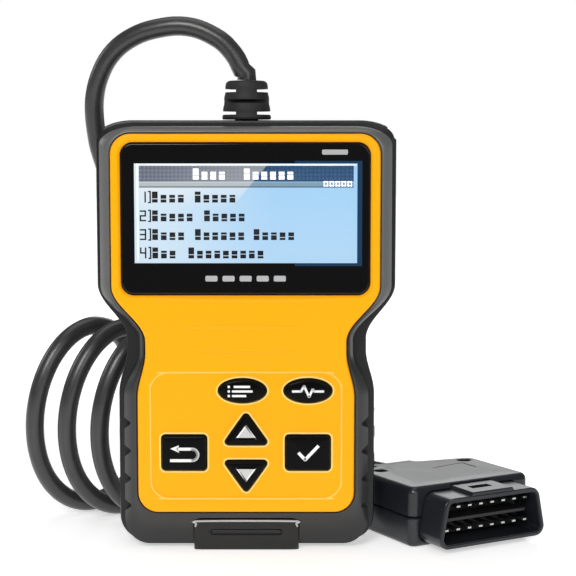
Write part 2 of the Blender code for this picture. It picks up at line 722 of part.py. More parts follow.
def display():
    front = FRONT + 0.0004
    solid("display_window", [at_depth(window_outline(), front + WINDOW_THICK),
                             at_depth(window_outline(), front + 0.0003),
                             at_depth(window_outline(-0.0003), front)], lens_black)
    low = (-SCREEN_WIDTH / 2 - LCD_BORDER, SCREEN_LOW - LCD_BORDER)
    high = (SCREEN_WIDTH / 2 + LCD_BORDER, SCREEN_HIGH + LCD_BORDER)
    outer = rectangle(low, high, LCD_WALL + GAP)
    inner = rectangle(low, high, LCD_WALL + GAP, -LCD_WALL)
    held = rectangle(low, high, LCD_WALL + GAP + 0.0002, -LCD_WALL - GAP)
    frame = slab("lcd_frame", outer, LCD_FRONT, LCD_BACK, bright_metal)
    combine(frame, slab("lcd_frame_cut", inner, LCD_FRONT - LAP, LCD_BACK + LAP))
    slab("lcd_glass", held, LCD_FRONT, LCD_FRONT + LCD_GLASS_THICK, lcd_blue)
    slab("backlight_panel", held, LCD_BACK - LCD_LAMP_THICK, LCD_BACK, white_plastic)
    ribbon()


def ribbon():
    """The flat flex from the foot of the glass to the board."""
    top = SCREEN_LOW - LCD_BORDER - GAP
    start, end = LCD_FRONT + LCD_GLASS_THICK / 2, BOARD_FRONT - GAP - RIBBON_THICK
    path = [(top, start), (top - RIBBON_DROP * 0.2, start), (top - RIBBON_DROP * 0.5, end),
            (top - RIBBON_DROP, end)]
    bm = bmesh.new()
    rows = [[bm.verts.new((x, y, z)) for x in (-RIBBON_HALF_WIDTH, RIBBON_HALF_WIDTH)] for z, y in path]
    for one, two in zip(rows, rows[1:]):
        bm.faces.new((one[0], one[1], two[1], two[0]))
    bmesh.ops.recalc_face_normals(bm, faces=bm.faces)
    mesh = bpy.data.meshes.new("lcd_ribbon")
    bm.to_mesh(mesh)
    bm.free()
    obj = placed("lcd_ribbon", mesh, flex_film)
    thick = obj.modifiers.new("Film", "SOLIDIFY")
    thick.thickness = RIBBON_THICK
    thick.offset = 0.0


# Keys and their switches ------------------------------------------------------------------------


def arrow_corners(direction):
    """An isosceles key that points up (1) or down (-1) from the middle of the row."""
    base = KEY_ROW_Z + direction * ARROW_GAP / 2
    tip = base + direction * ARROW_HEIGHT
    return [(-ARROW_HALF_WIDTH * direction, base), (ARROW_HALF_WIDTH * direction, base), (0.0, tip)]


def key_shapes():
    """Each key's name, its outline as a function of how far it is grown, and its switch's place."""
    def oval_key(x):
        return lambda grow: oval((x, OVAL_ROW_Z), OVAL_KEY, grow)

    def block_key(x):
        low = (x - BLOCK_KEY[0] / 2, KEY_ROW_Z - BLOCK_KEY[1] / 2)
        high = (x + BLOCK_KEY[0] / 2, KEY_ROW_Z + BLOCK_KEY[1] / 2)
        return lambda grow: rectangle(low, high, BLOCK_KEY_CORNER, grow)

    def arrow_key(direction):
        return lambda grow: rounded(arrow_corners(direction), 0.0007, grow, 4)

    arrow_z = ARROW_GAP / 2 + ARROW_HEIGHT * 0.36
    return [
        ("key_oval_left", oval_key(OVAL_LEFT_X), (OVAL_LEFT_X, OVAL_ROW_Z)),
        ("key_oval_right", oval_key(KEY_COLUMN_X), (KEY_COLUMN_X, OVAL_ROW_Z)),
        ("key_up", arrow_key(1), (0.0, KEY_ROW_Z + arrow_z)),
        ("key_down", arrow_key(-1), (0.0, KEY_ROW_Z - arrow_z)),
        ("key_back", block_key(-KEY_COLUMN_X), (-KEY_COLUMN_X, KEY_ROW_Z)),
        ("key_enter", block_key(KEY_COLUMN_X), (KEY_COLUMN_X, KEY_ROW_Z)),
    ]


def facing(outline, centre, radius):
    """A circle with a point in the direction of each point of the outline."""
    ring = []
    for x, z in outline:
        a = math.atan2(z - centre[1], x - centre[0])
        ring.append((centre[0] + radius * math.cos(a), centre[1] + radius * math.sin(a)))
    return ring


def key(name, outline, centre):
    """A key cap with a retaining flange behind the panel and a stem that reaches its switch."""
    face = FRONT - KEY_PROUD
    flange = PANEL_BACK + GAP
    flange_back = flange + KEY_FLANGE_THICK
    stem = facing(outline(0.0), centre, STEM_RADIUS)
    cap = solid(name, [
        at_depth(outline(-0.0005), face), at_depth(outline(-0.0001), face + 0.0002),
        at_depth(outline(0.0), face + 0.0006), at_depth(outline(0.0), flange),
        at_depth(outline(KEY_FLANGE), flange), at_depth(outline(KEY_FLANGE), flange_back),
        at_depth(stem, flange_back), at_depth(stem, PLUNGER_TIP - GAP)], key_gloss)
    recentred(cap, (centre[0], flange, centre[1]))


def switch(name, centre):
    outer = square(centre, SWITCH_SIDE / 2)
    well = circle(centre, PLUNGER_RADIUS + GAP, 16)
    solid(f"switch_{name}", [at_depth(well, WELL_FLOOR), at_depth(well, SWITCH_FRONT),
                             at_depth(outer, SWITCH_FRONT), at_depth(outer, SWITCH_BACK)], black_plastic)
    plunger = rod(f"plunger_{name}", centre, PLUNGER_RADIUS, PLUNGER_TIP,
                  WELL_FLOOR - KEY_TRAVEL - GAP, white_plastic)
    recentred(plunger, (centre[0], PLUNGER_TIP, centre[1]))


def keys():
    for name, outline, centre in key_shapes():
        key(name, outline, centre)
        switch(name.removeprefix("key_"), centre)


# Circuit board ----------------------------------------------------------------------------------


def chip(name, place, finish):
    """A square-edged component on the back of the board, from its centre, size and thickness."""
    centre, size, thick = place
    low = (centre[0] - size[0] / 2, centre[1] - size[1] / 2)
    high = (centre[0] + size[0] / 2, centre[1] + size[1] / 2)
    wide = rectangle(low, high, CHIP_CORNER, 0.0, 2)
    face = rectangle(low, high, CHIP_CORNER, -CHIP_BEVEL, 2)
    front, back = BEHIND_BOARD, BEHIND_BOARD + thick
    solid(name, [at_depth(wide, front), at_depth(wide, back - CHIP_BEVEL), at_depth(face, back)], finish)


def board():
    made = slab("main_board", body_outline(BOARD_INSET), BOARD_FRONT, BOARD_BACK, board_green)
    for i, spot in enumerate(screw_spots()):
        combine(made, rod(f"board_gap_{i}", spot, BOSS_RADIUS + GAP, BOARD_FRONT - LAP, BOARD_BACK + LAP))
    for side in (-1, 1):
        spot = (side * BOARD_SCREW_X, BOARD_SCREW_Z)
        combine(made, rod(f"board_hole_{side}", spot, SMALL_SHAFT + GAP, BOARD_FRONT - LAP, BOARD_BACK + LAP))
    chip("processor_chip", PROCESSOR, black_plastic)
    chip("interface_chip", INTERFACE, black_plastic)
    chip("regulator", REGULATOR, black_plastic)
    chip("crystal", CRYSTAL, bright_metal)
    for name, (centre, radius, thick), finish in (
            ("buzzer", BUZZER, black_plastic), ("capacitor", CAPACITOR, bright_metal)):
        rod(name, centre, radius, BEHIND_BOARD, BEHIND_BOARD + thick, finish, steps=24)
    socket = (0.0, BODY_BOTTOM + SOCKET_FROM_EDGE + SOCKET_HEIGHT / 2)
    chip("usb_socket", (socket, (2 * PORT_HALF_WIDTH, SOCKET_HEIGHT), PORT_THICK), bright_metal)


def inner_lead():
    """The cable header on the board, its connector, and the conductors up to the strain relief."""
    chip("cable_header", ((0.0, HEADER_Z), HEADER_SIZE, HEADER_THICK), white_plastic)
    half_wide, half_high = CONNECTOR_SIZE[0] / 2, CONNECTOR_SIZE[1] / 2
    shape = rectangle((-half_wide, HEADER_Z - half_high), (half_wide, HEADER_Z + half_high), 0.0005, 0.0, 2)
    slab("cable_connector", shape, CONNECTOR_FRONT, CONNECTOR_FRONT + CONNECTOR_THICK, white_plastic)
    bottom = HEADER_Z + half_high + GAP
    top = BODY_TOP - BACK_WALL - GAP - RELIEF_COLLAR_THICK - GAP
    start_y = CONNECTOR_FRONT + CONNECTOR_THICK / 2
    half_thick = LEADS_THICK / 2
    rings = []
    for share in (0.0, 0.35, 0.75, 1.0):
        half = LEADS_HALF_LOW + (LEADS_HALF_HIGH - LEADS_HALF_LOW) * share
        y = start_y + (RELIEF_Y - start_y) * share
        outline = rectangle((-half, y - half_thick), (half, y + half_thick), 0.0007, 0.0, 2)
        rings.append(at_height(outline, bottom + (top - bottom) * share))
    solid("inner_leads", rings, cord_jacket)


def driven(name, spot, seat, sizes, frame=None, rotation=FACING_BACK, steps=10):
    """A pan-head screw whose head rests at seat, with a cross in it."""
    shaft, head, thick, length = sizes
    profile = [
        (0.0, seat + GAP + thick), (head * 0.6, seat + GAP + thick), (head, seat + GAP + thick * 0.5),
        (head, seat + GAP), (shaft, seat + GAP), (shaft, seat - length + shaft), (0.0, seat - length)]
    screw = turned(name, profile, spot, rotation, screw_metal, frame, steps)
    for i in range(2):
        arm = (head * 0.55, CROSS_WIDTH / 2)
        across = rectangle((-arm[0], -arm[1]), arm, 0.0001, 0.0, 1)
        top = seat + GAP + thick
        bar = solid(f"{name}_cross_{i}", [at_height(across, top - thick * 0.5), at_height(across, top + LAP)],
                    None, frame)
        bar.location = spot
        bar.rotation_euler = rotation
        if i:
            tip_over = Matrix.Rotation(rotation[0], 4, "X")
            bar.rotation_euler = (tip_over @ Matrix.Rotation(math.pi / 2, 4, "Z")).to_euler()
        combine(screw, bar)
    return screw


def screws():
    large = (SCREW_SHAFT, SCREW_HEAD, SCREW_HEAD_THICK, SCREW_LENGTH)
    for i, (x, z) in enumerate(screw_spots()):
        driven(f"housing_screw_{i + 1}", (x, 0.0, z), SCREW_SEAT, large)
    small = (SMALL_SHAFT, SMALL_HEAD, SMALL_HEAD_THICK, SMALL_LENGTH)
    for i, side in enumerate((-1, 1)):
        driven(f"board_screw_{i + 1}", (side * BOARD_SCREW_X, 0.0, BOARD_SCREW_Z), BOARD_BACK, small)


# Plug -------------------------------------------------------------------------------------------


def plug_frame():
    """An empty under the middle of the plug's front edge, turned as the plug lies."""
    empty = bpy.data.objects.new("plug_frame", None)
    parts.objects.link(empty)
    across = Vector((math.cos(PLUG_YAW), math.sin(PLUG_YAW), 0.0))
    empty.location = PLUG_CORNER_PLACE + across * PLUG_HALF_WIDTH
    empty.rotation_euler = (0.0, 0.0, PLUG_YAW)
    return empty


def plug_outline(inset=0.0):
    """The plug from above: a square front, shoulders, and a neck for the boot."""
    half = PLUG_HALF_WIDTH - inset
    neck = PLUG_NECK_HALF - inset
    corner = max(PLUG_CORNER - inset, 0.0004)
    rear = PLUG_LENGTH - inset
    right = arc((half - corner, inset + corner), (corner, corner), -90, 0, 4)
    narrows = (half, PLUG_SHOULDER - inset * 0.4)
    right += ease(narrows, (neck, PLUG_LENGTH - PLUG_NECK_LENGTH - inset * 0.4), 7)
    right += arc((neck - 0.0010, rear - 0.0010), (0.0010, 0.0010), 0, 90, 2)
    return mirrored(right)


def shell_outline(grow=0.0):
    corners = [(-SHELL_HALF_LOW, SHELL_LOW), (SHELL_HALF_LOW, SHELL_LOW),
               (SHELL_HALF_HIGH, SHELL_HIGH), (-SHELL_HALF_HIGH, SHELL_HIGH)]
    return rounded(corners, SHELL_CORNER, grow, 4)


def plug_cutters(half_name, frame):
    """What both halves of the plug are opened for: the shell in front and the boot behind."""
    shell = slab(f"{half_name}_shell_seat", shell_outline(GAP), -LAP, SHELL_IN + GAP, None, frame)
    boot = rod(f"{half_name}_boot_hole", (0.0, PLUG_AXIS_Z), BOOT_NECK + GAP,
               PLUG_LENGTH - PLUG_WALL - LAP, PLUG_LENGTH + LAP, None, frame, 20)
    return [shell, boot]


def plug_screw_spots():
    return [(side * PLUG_SCREW_X, PLUG_SCREW_Y) for side in (-1, 1)]


def column(name, outline, low, high, frame):
    """An upright cutter or core on the plug."""
    return solid(name, [at_height(outline, low), at_height(outline, high)], None, frame)


def plug_slope(frame):
    """What the top of the plug is cut by: a wedge that leaves it lower towards the boot."""
    end = PLUG_LENGTH + LAP
    side = [(PLUG_SLOPE_START, PLUG_HEIGHT + 0.0001), (end, PLUG_HEIGHT - PLUG_REAR_DROP),
            (end, PLUG_HEIGHT + FAR), (PLUG_SLOPE_START, PLUG_HEIGHT + FAR)]
    return solid("plug_slope", [[(x, y, z) for y, z in side] for x in (-FAR, FAR)], None, frame)


def plug_halves(frame):
    lower = solid("plug_body_lower", [
        at_height(plug_outline(PLUG_WALL), PLUG_WALL), at_height(plug_outline(PLUG_WALL), PLUG_SPLIT),
        at_height(plug_outline(), PLUG_SPLIT), at_height(plug_outline(), 0.0012),
        at_height(plug_outline(0.0004), 0.0004), at_height(plug_outline(0.0012), 0.0)], plug_plastic, frame)
    seam = PLUG_SPLIT + GAP
    rings = [at_height(plug_outline(PLUG_WALL), PLUG_CEILING), at_height(plug_outline(PLUG_WALL), seam),
             at_height(plug_outline(), seam)]
    for i in range(4):
        a = math.radians(90 * i / 3)
        rings.append(at_height(plug_outline(PLUG_EDGE_ROUND * (1 - math.cos(a))),
                               PLUG_HEIGHT - PLUG_EDGE_ROUND * (1 - math.sin(a))))
    upper = solid("plug_body_upper", rings, plug_plastic, frame)
    combine(upper, plug_slope(frame))
    seat = PLUG_CEILING - PLUG_SEAT_THICK
    for i, (x, y) in enumerate(plug_screw_spots()):
        stub = circle((x, y), PLUG_STUB_RADIUS)
        pilot = circle((x, y), SMALL_SHAFT + GAP)
        boss = circle((x, y), PLUG_BOSS_RADIUS)
        combine(lower, column(f"plug_stub_{i}", stub, PLUG_STUB_FLOOR, PLUG_SPLIT, frame), "UNION")
        combine(lower, column(f"plug_pilot_{i}", pilot, PLUG_PILOT_FLOOR, PLUG_SPLIT + LAP, frame))
        combine(upper, column(f"plug_boss_{i}", boss, seam, PLUG_CEILING + LAP, frame), "UNION")
        bore = turned(f"plug_bore_{i}", [
            (0.0, PLUG_HEIGHT + LAP), (SMALL_HEAD + GAP, PLUG_HEIGHT + LAP), (SMALL_HEAD + GAP, seat),
            (SMALL_SHAFT + GAP, seat), (SMALL_SHAFT + GAP, seam - LAP), (0.0, seam - LAP)],
            (x, y, 0.0), (0.0, 0.0, 0.0), None, frame, 12)
        combine(upper, bore)
        driven(f"plug_screw_{i + 1}", (x, y, 0.0), seat,
               (SMALL_SHAFT, SMALL_HEAD, SMALL_HEAD_THICK, PLUG_SCREW_LENGTH), frame, (0.0, 0.0, 0.0))
    combine_all(lower, plug_cutters("lower", frame))
    combine_all(upper, plug_cutters("upper", frame))


def plug_shell(frame):
    """The keyed nose around the pins, open in front."""
    shell = solid("plug_shell", [
        at_depth(shell_outline(), SHELL_IN), at_depth(shell_outline(), -SHELL_OUT + 0.0003),
        at_depth(shell_outline(-0.0003), -SHELL_OUT)], plug_plastic, frame)
    cavity = slab("shell_cavity", shell_outline(-SHELL_WALL),
                  -SHELL_OUT - LAP, CARRIER_DEPTH + GAP, None, frame)
    window = rectangle((-WIRE_WINDOW[0] / 2, RIB_Z - WIRE_WINDOW[1] / 2),
                       (WIRE_WINDOW[0] / 2, RIB_Z + WIRE_WINDOW[1] / 2))
    combine_all(shell, [cavity, slab("wire_window", window, 0.0, SHELL_IN + LAP, None, frame)])


def pin_block(frame):
    """Sixteen blades and the rib between their rows, on one carrier."""
    inside = shell_outline(-SHELL_WALL - GAP)
    block = slab("pin_block", inside, 0.0, CARRIER_DEPTH, black_plastic, frame)
    pins = bpy.data.collections.new("pins")
    cutters.children.link(pins)
    pins.hide_render = True
    for row, z in enumerate(PIN_ROWS_Z):
        for column in range(PIN_COLUMNS):
            x = PIN_PITCH * (column - (PIN_COLUMNS - 1) / 2)
            low = (x - PIN_SIZE[0] / 2, z - PIN_SIZE[1] / 2)
            high = (x + PIN_SIZE[0] / 2, z + PIN_SIZE[1] / 2)
            wide = rectangle(low, high, 0.0002, 0.0, 1)
            tip = rectangle(low, high, 0.0002, -0.0002, 1)
            pin = solid(f"pin_{row}_{column}", [
                at_depth(wide, LAP), at_depth(wide, -PIN_REACH + PIN_TAPER), at_depth(tip, -PIN_REACH),
            ], None, frame)
            cutters.objects.unlink(pin)
            pins.objects.link(pin)
    half_thick = RIB_THICK / 2
    low, high = (-RIB_HALF_WIDTH, RIB_Z - half_thick), (RIB_HALF_WIDTH, RIB_Z + half_thick)
    rib = rectangle(low, high, 0.0002, 0.0, 1)
    combine(block, slab("pin_rib", rib, -PIN_REACH, LAP, None, frame), "UNION")
    joined = block.modifiers.new("pins", "BOOLEAN")
    joined.operation = "UNION"
    joined.operand_type = "COLLECTION"
    joined.collection = pins


def plug_boot(frame):
    """A ringed, tapered boot whose collar is held inside the plug's neck."""
    start = PLUG_LENGTH + GAP
    end = PLUG_LENGTH + BOOT_LENGTH
    inner = PLUG_LENGTH - PLUG_WALL - GAP
    profile = [(0.0, end), (BOOT_TIP_RADIUS - 0.0004, end), (BOOT_TIP_RADIUS, end - 0.0005)]
    pitch = (end - 0.0015 - start - 0.0015) / BOOT_RINGS
    for i in range(BOOT_RINGS):
        share = (i + 0.5) / BOOT_RINGS
        radius = BOOT_TIP_RADIUS + (BOOT_BASE_RADIUS - BOOT_TIP_RADIUS) * share
        y = end - 0.0015 - pitch * i
        profile += [(radius, y), (radius - 0.0007, y - pitch * 0.15),
                    (radius - 0.0007, y - pitch * 0.4), (radius, y - pitch * 0.55)]
    profile += [(BOOT_BASE_RADIUS, start + 0.0013), (BOOT_BASE_RADIUS, start), (BOOT_NECK, start),
                (BOOT_NECK, inner), (BOOT_COLLAR, inner), (BOOT_COLLAR, inner - BOOT_COLLAR_LENGTH),
                (0.0, inner - BOOT_COLLAR_LENGTH)]
    turned("plug_boot", profile, (0.0, 0.0, PLUG_AXIS_Z), FACING_BACK, rubber, frame, 14)


def plug():
    frame = plug_frame()
    plug_halves(frame)
    plug_shell(frame)
    pin_block(frame)
    plug_boot(frame)


# Lead -------------------------------------------------------------------------------------------


def coil_axes():
    across = Vector((math.cos(COIL_YAW), math.sin(COIL_YAW), 0.0))
    up = Vector((math.sin(COIL_YAW) * math.sin(COIL_LEAN),
                 -math.cos(COIL_YAW) * math.sin(COIL_LEAN), math.cos(COIL_LEAN)))
    return across, up


def coil_point(turn):
    """The lead's middle, this many turns into the coil, which starts down its right side."""
    across, up = coil_axes()
    a = -2 * math.pi * turn
    spoke = across * (COIL_RADIUS * math.cos(a)) + up * (COIL_RISE * math.sin(a))
    return COIL_START + COIL_STEP * turn + spoke


def smooth_path(points, spacing):
    """Points read evenly from a smooth curve through the given ones."""
    fine = []
    count = len(points)
    for i in range(count - 1):
        a, b, c, d = (points[max(0, min(count - 1, i + k))] for k in (-1, 0, 1, 2))
        for k in range(16):
            t = k / 16
            fine.append(0.5 * (2 * b + (c - a) * t + (2 * a - 5 * b + 4 * c - d) * t ** 2
                               + (3 * b - a - 3 * c + d) * t ** 3))
    fine.append(points[-1])
    lengths = [0.0]
    for one, two in zip(fine, fine[1:]):
        lengths.append(lengths[-1] + (two - one).length)
    steps = max(2, round(lengths[-1] / spacing))
    spots, k = [], 0
    for i in range(steps + 1):
        want = lengths[-1] * i / steps
        while k < len(fine) - 2 and lengths[k + 1] < want:
            k += 1
        share = (want - lengths[k]) / (lengths[k + 1] - lengths[k])
        spots.append(fine[k].lerp(fine[k + 1], share))
    return spots


ARCH_ROUTE = [
    (-0.0013, 0.0044, 0.1367), (-0.0026, 0.0047, 0.1396), (-0.0046, 0.0050, 0.1424),
    (-0.0076, 0.0053, 0.1453), (-0.0134, 0.0060, 0.1483), (-0.0192, 0.0068, 0.1494),
    (-0.0250, 0.0078, 0.1489), (-0.0309, 0.0090, 0.1474), (-0.0366, 0.0104, 0.1443),
    (-0.0408, 0.0118, 0.1400), (-0.0435, 0.0132, 0.1348), (-0.0449, 0.0145, 0.1299),
    (-0.0453, 0.0156, 0.1250), (-0.0449, 0.0168, 0.1190), (-0.0437, 0.0178, 0.1126),
    (-0.0392, 0.0196, 0.1000), (-0.0318, 0.0218, 0.0880), (-0.0225, 0.0250, 0.0780),
    (-0.0130, 0.0293, 0.0690), (-0.0070, 0.0333, 0.0600),
]
LEAD_ROUTE = [  # Y is measured from the housing's back
    (-0.0398, 0.0412, 0.0237), (-0.0400, 0.0440, 0.0163), (-0.0376, 0.0476, 0.0096),
    (-0.0320, 0.0512, 0.0050), (-0.0235, 0.0543, 0.0032), (-0.0130, 0.0564, 0.0029),
    (-0.0010, 0.0574, 0.0029), (0.0110, 0.0570, 0.0029), (0.0205, 0.0545, 0.0034),
    (0.0285, 0.0503, 0.0052),
]


def coil_solid():
    """The outer shape of the three turns: a ring drawn out along the way that they fan."""
    across, up = coil_axes()
    sides = 40
    half_up = CORD_DIAMETER / 2
    half_across = half_up * COIL_WALL_SHARE
    first, last = 0.25, COIL_TURNS - 0.25
    rings = []
    for i in range(sides):
        a = 2 * math.pi * i / sides
        edges = []
        for grow, turn in ((-1, first), (1, first), (1, last), (-1, last)):
            centre = COIL_START + COIL_STEP * turn
            edges.append(centre + across * ((COIL_RADIUS + grow * half_across) * math.cos(a))
                         + up * ((COIL_RISE + grow * half_up) * math.sin(a)))
        rings.append(edges)
    bm = bmesh.new()
    rows = [[bm.verts.new(p) for p in ring] for ring in rings]
    for i in range(sides):
        one, two = rows[i], rows[(i + 1) % sides]
        for j in range(4):
            k = (j + 1) % 4
            bm.faces.new((one[j], one[k], two[k], two[j]))
    bmesh.ops.recalc_face_normals(bm, faces=bm.faces)
    mesh = bpy.data.meshes.new("cord_coil")
    bm.to_mesh(mesh)
    bm.free()
    placed("cord_coil", mesh, cord_jacket)


def lead():
    _, up = coil_axes()
    entry = coil_point(0.0) + up * COIL_ENTRY
    arch = [CORD_EXIT + Vector((0.0, 0.0, STRAIGHT))] + [Vector(p) for p in ARCH_ROUTE] + [entry]
    tube("cord_arch", [CORD_EXIT] + smooth_path(arch, CORD_DIAMETER), cord_jacket)
    coil_solid()
    across = Vector((math.cos(PLUG_YAW), math.sin(PLUG_YAW), 0.0))
    back = Vector((-math.sin(PLUG_YAW), math.cos(PLUG_YAW), 0.0))
    origin = PLUG_CORNER_PLACE + across * PLUG_HALF_WIDTH
    boot_end = origin + back * (PLUG_LENGTH + BOOT_LENGTH + GAP) + Vector((0.0, 0.0, PLUG_AXIS_Z))
    behind = Vector((0.0, BACK, 0.0))
    tail = [behind + Vector(p) for p in LEAD_ROUTE[1:]]  # the first lies in the coil
    tail.append(boot_end + back * STRAIGHT)
    tube("cord_lead", smooth_path(tail, CORD_DIAMETER) + [boot_end], cord_jacket)


clear_scene()
parts = new_collection("code_reader")
cutters = new_collection("cutters")
yellow_plastic = finish_of("yellow_plastic", (1.0, 0.479, 0.0), 0.38)
bezel_plastic = finish_of("bezel_plastic", (0.075, 0.078, 0.078), 0.42)
dark_plastic = finish_of("dark_plastic", (0.028, 0.029, 0.030), 0.50)
rubber = finish_of("rubber", (0.022, 0.022, 0.023), 0.70)
lens_black = finish_of("lens_black", (0.004, 0.004, 0.005), 0.08)
lcd_blue = finish_of("lcd_blue", (0.352, 0.658, 0.956), 0.25)
key_gloss = finish_of("key_gloss", (0.006, 0.006, 0.007), 0.15)
white_plastic = finish_of("white_plastic", (0.75, 0.75, 0.72), 0.50)
black_plastic = finish_of("black_plastic", (0.015, 0.015, 0.016), 0.55)
bright_metal = finish_of("bright_metal", (0.62, 0.62, 0.60), 0.30, 1.0)
screw_metal = finish_of("screw_metal", (0.30, 0.30, 0.31), 0.35, 1.0)
board_green = finish_of("board_green", (0.010, 0.110, 0.045), 0.45)
flex_film = finish_of("flex_film", (0.55, 0.28, 0.06), 0.40)
label_film = finish_of("label_film", (0.62, 0.63, 0.64), 0.45)
plug_plastic = finish_of("plug_plastic", (0.040, 0.042, 0.046), 0.45)
cord_jacket = finish_of("cord_jacket", (0.050, 0.050, 0.051), 0.50)

back_housing()
front_bezel()
front_panel()
grips()
port_cover()
back_label()
strain_relief()
display()
keys()
board()
inner_lead()
screws()
plug()
lead()
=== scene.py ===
import math

import bmesh
import bpy
from mathutils import Matrix, Vector


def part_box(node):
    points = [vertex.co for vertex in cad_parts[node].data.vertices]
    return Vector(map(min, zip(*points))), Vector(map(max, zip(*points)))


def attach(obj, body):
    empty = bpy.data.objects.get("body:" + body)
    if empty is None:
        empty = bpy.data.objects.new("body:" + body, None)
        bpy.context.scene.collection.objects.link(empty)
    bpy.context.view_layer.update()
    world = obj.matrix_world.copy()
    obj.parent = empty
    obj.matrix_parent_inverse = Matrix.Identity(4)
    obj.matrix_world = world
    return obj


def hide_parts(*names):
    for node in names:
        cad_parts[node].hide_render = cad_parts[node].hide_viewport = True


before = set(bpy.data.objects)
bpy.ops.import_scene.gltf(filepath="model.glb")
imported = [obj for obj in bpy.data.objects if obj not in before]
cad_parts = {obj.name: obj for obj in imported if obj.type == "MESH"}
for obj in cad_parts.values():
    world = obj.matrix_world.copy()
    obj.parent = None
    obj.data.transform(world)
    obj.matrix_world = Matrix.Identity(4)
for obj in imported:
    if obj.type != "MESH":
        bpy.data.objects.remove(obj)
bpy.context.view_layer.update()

print("frame loaded with", len(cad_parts), "nodes")

touchGap = 0.0003  # what neighbouring pieces keep between them
passBy = 0.001  # how far a cutting shape passes the face it opens


# shader maths and materials

class Wire:
    # one socket of a material; arithmetic on it adds Math nodes
    def __init__(self, finish, socket):
        self.finish = finish
        self.socket = socket

    def maths(self, operation, first, second):
        return self.finish.node("ShaderNodeMath", {"operation": operation}, {0: first, 1: second})

    def __add__(self, other):
        return self.maths("ADD", self, other)

    def __radd__(self, other):
        return self.maths("ADD", other, self)

    def __sub__(self, other):
        return self.maths("SUBTRACT", self, other)

    def __rsub__(self, other):
        return self.maths("SUBTRACT", other, self)

    def __mul__(self, other):
        return self.maths("MULTIPLY", self, other)

    def __rmul__(self, other):
        return self.maths("MULTIPLY", other, self)

    def size(self):
        return self.maths("ABSOLUTE", self, 0.0)

    def rise(self, start, end):
        # 0 up to start, 1 from end on, with a soft step between
        return self.finish.node("ShaderNodeMapRange", {"interpolation_type": "SMOOTHSTEP"},
                                {"Value": self, "From Min": start, "From Max": end})

    def within(self, low, high, soft):
        return self.rise(low - soft, low) * (1 - self.rise(high, high + soft))


class Finish:
    # a Principled material that is wired up piece by piece
    def __init__(self, name, color, roughness, metallic=0.0, **even):
        self.material = bpy.data.materials.new(name)
        self.material.use_nodes = True
        self.material.diffuse_color = (*color, 1.0)
        self.tree = self.material.node_tree
        self.shader = self.tree.nodes["Principled BSDF"]
        self.feed("Base Color", (*color, 1.0))
        self.feed("Roughness", roughness)
        self.feed("Metallic", metallic)
        for socket, value in even.items():
            self.feed(socket.replace("_", " "), value)
        self.spot = None

    def feed(self, name, value):
        socket = self.shader.inputs[name]
        if isinstance(value, Wire):
            self.tree.links.new(value.socket, socket)
        else:
            socket.default_value = value

    def node(self, kind, settings=None, values=None, output=0):
        made = self.tree.nodes.new(kind)
        for key, value in (settings or {}).items():
            if key != "stops":
                setattr(made, key, value)
                continue
            ramp = made.color_ramp
            while len(ramp.elements) < len(value):
                ramp.elements.new(1.0)
            for stop, (position, color) in zip(ramp.elements, value):
                stop.position = position
                stop.color = (*color, 1.0)
        for key, value in (values or {}).items():
            if isinstance(value, Wire):
                self.tree.links.new(value.socket, made.inputs[key])
            else:
                made.inputs[key].default_value = value
        return Wire(self, made.outputs[output])

    def place(self):
        if self.spot is None:
            self.spot = self.node("ShaderNodeTexCoord", output="Object")
        return self.spot

    def axes(self):
        split = self.node("ShaderNodeSeparateXYZ", values={0: self.place()})
        return [Wire(self, split.socket.node.outputs[i]) for i in range(3)]

    def noise(self, scale, detail=3.0, stretch=None):
        spot = self.place()
        if stretch:
            spot = self.node("ShaderNodeVectorMath", {"operation": "MULTIPLY"}, {0: spot, 1: stretch})
        return self.node("ShaderNodeTexNoise", values={"Vector": spot, "Scale": scale, "Detail": detail})

    def mix(self, share, first, second):
        first, second = (value if isinstance(value, Wire) else (*value, 1.0) for value in (first, second))
        return self.node("ShaderNodeMix", {"data_type": "RGBA"}, {0: share, 6: first, 7: second}, 2)

    def bump(self, height, distance, strength=1.0):
        return self.node("ShaderNodeBump", values={
            "Height": height, "Distance": distance, "Strength": strength})

    def edges(self, radius, start, end):
        # 1 along sharp edges, where handling rubs
        rounded = self.node("ShaderNodeBevel", {"samples": 4}, {"Radius": radius})
        true = self.node("ShaderNodeNewGeometry", output="Normal")
        match = self.node("ShaderNodeVectorMath", {"operation": "DOT_PRODUCT"}, {0: rounded, 1: true}, 1)
        return (1 - match).rise(start, end)


def tinted(color, factor):
    return tuple(min(1.0, c * factor) for c in color)


def mouldedPlastic(name, color, roughness, grain, wear=0.0, spread=0.08, **even):
    # fine spark-eroded grain, slow shade changes, and edges that handling has polished
    finish = Finish(name, color, roughness, **even)
    slow = finish.noise(38.0, 2.0)
    base = finish.mix(slow, tinted(color, 1 - spread), tinted(color, 1 + spread))
    if wear:
        rubbed = finish.edges(0.0004, 0.02, 0.22) * wear
        base = finish.mix(rubbed, base, tinted([c + 0.03 for c in color], 1.35))
    finish.feed("Base Color", base)
    speck = finish.noise(2600.0, 2.0)
    smudge = finish.noise(90.0, 4.0)
    finish.feed("Roughness", roughness - 0.06 + smudge * 0.12)
    finish.feed("Normal", finish.bump(speck, grain))
    return finish.material


def rubberSkin(name, color, roughness):
    finish = Finish(name, color, roughness, Specular_IOR_Level=0.35)
    dust = finish.noise(160.0, 5.0)
    finish.feed("Base Color", finish.mix(dust.rise(0.45, 0.75), color, tinted(color, 1.7)))
    finish.feed("Roughness", roughness - 0.05 + dust * 0.1)
    finish.feed("Normal", finish.bump(finish.noise(1500.0, 3.0), 0.00004))
    return finish.material


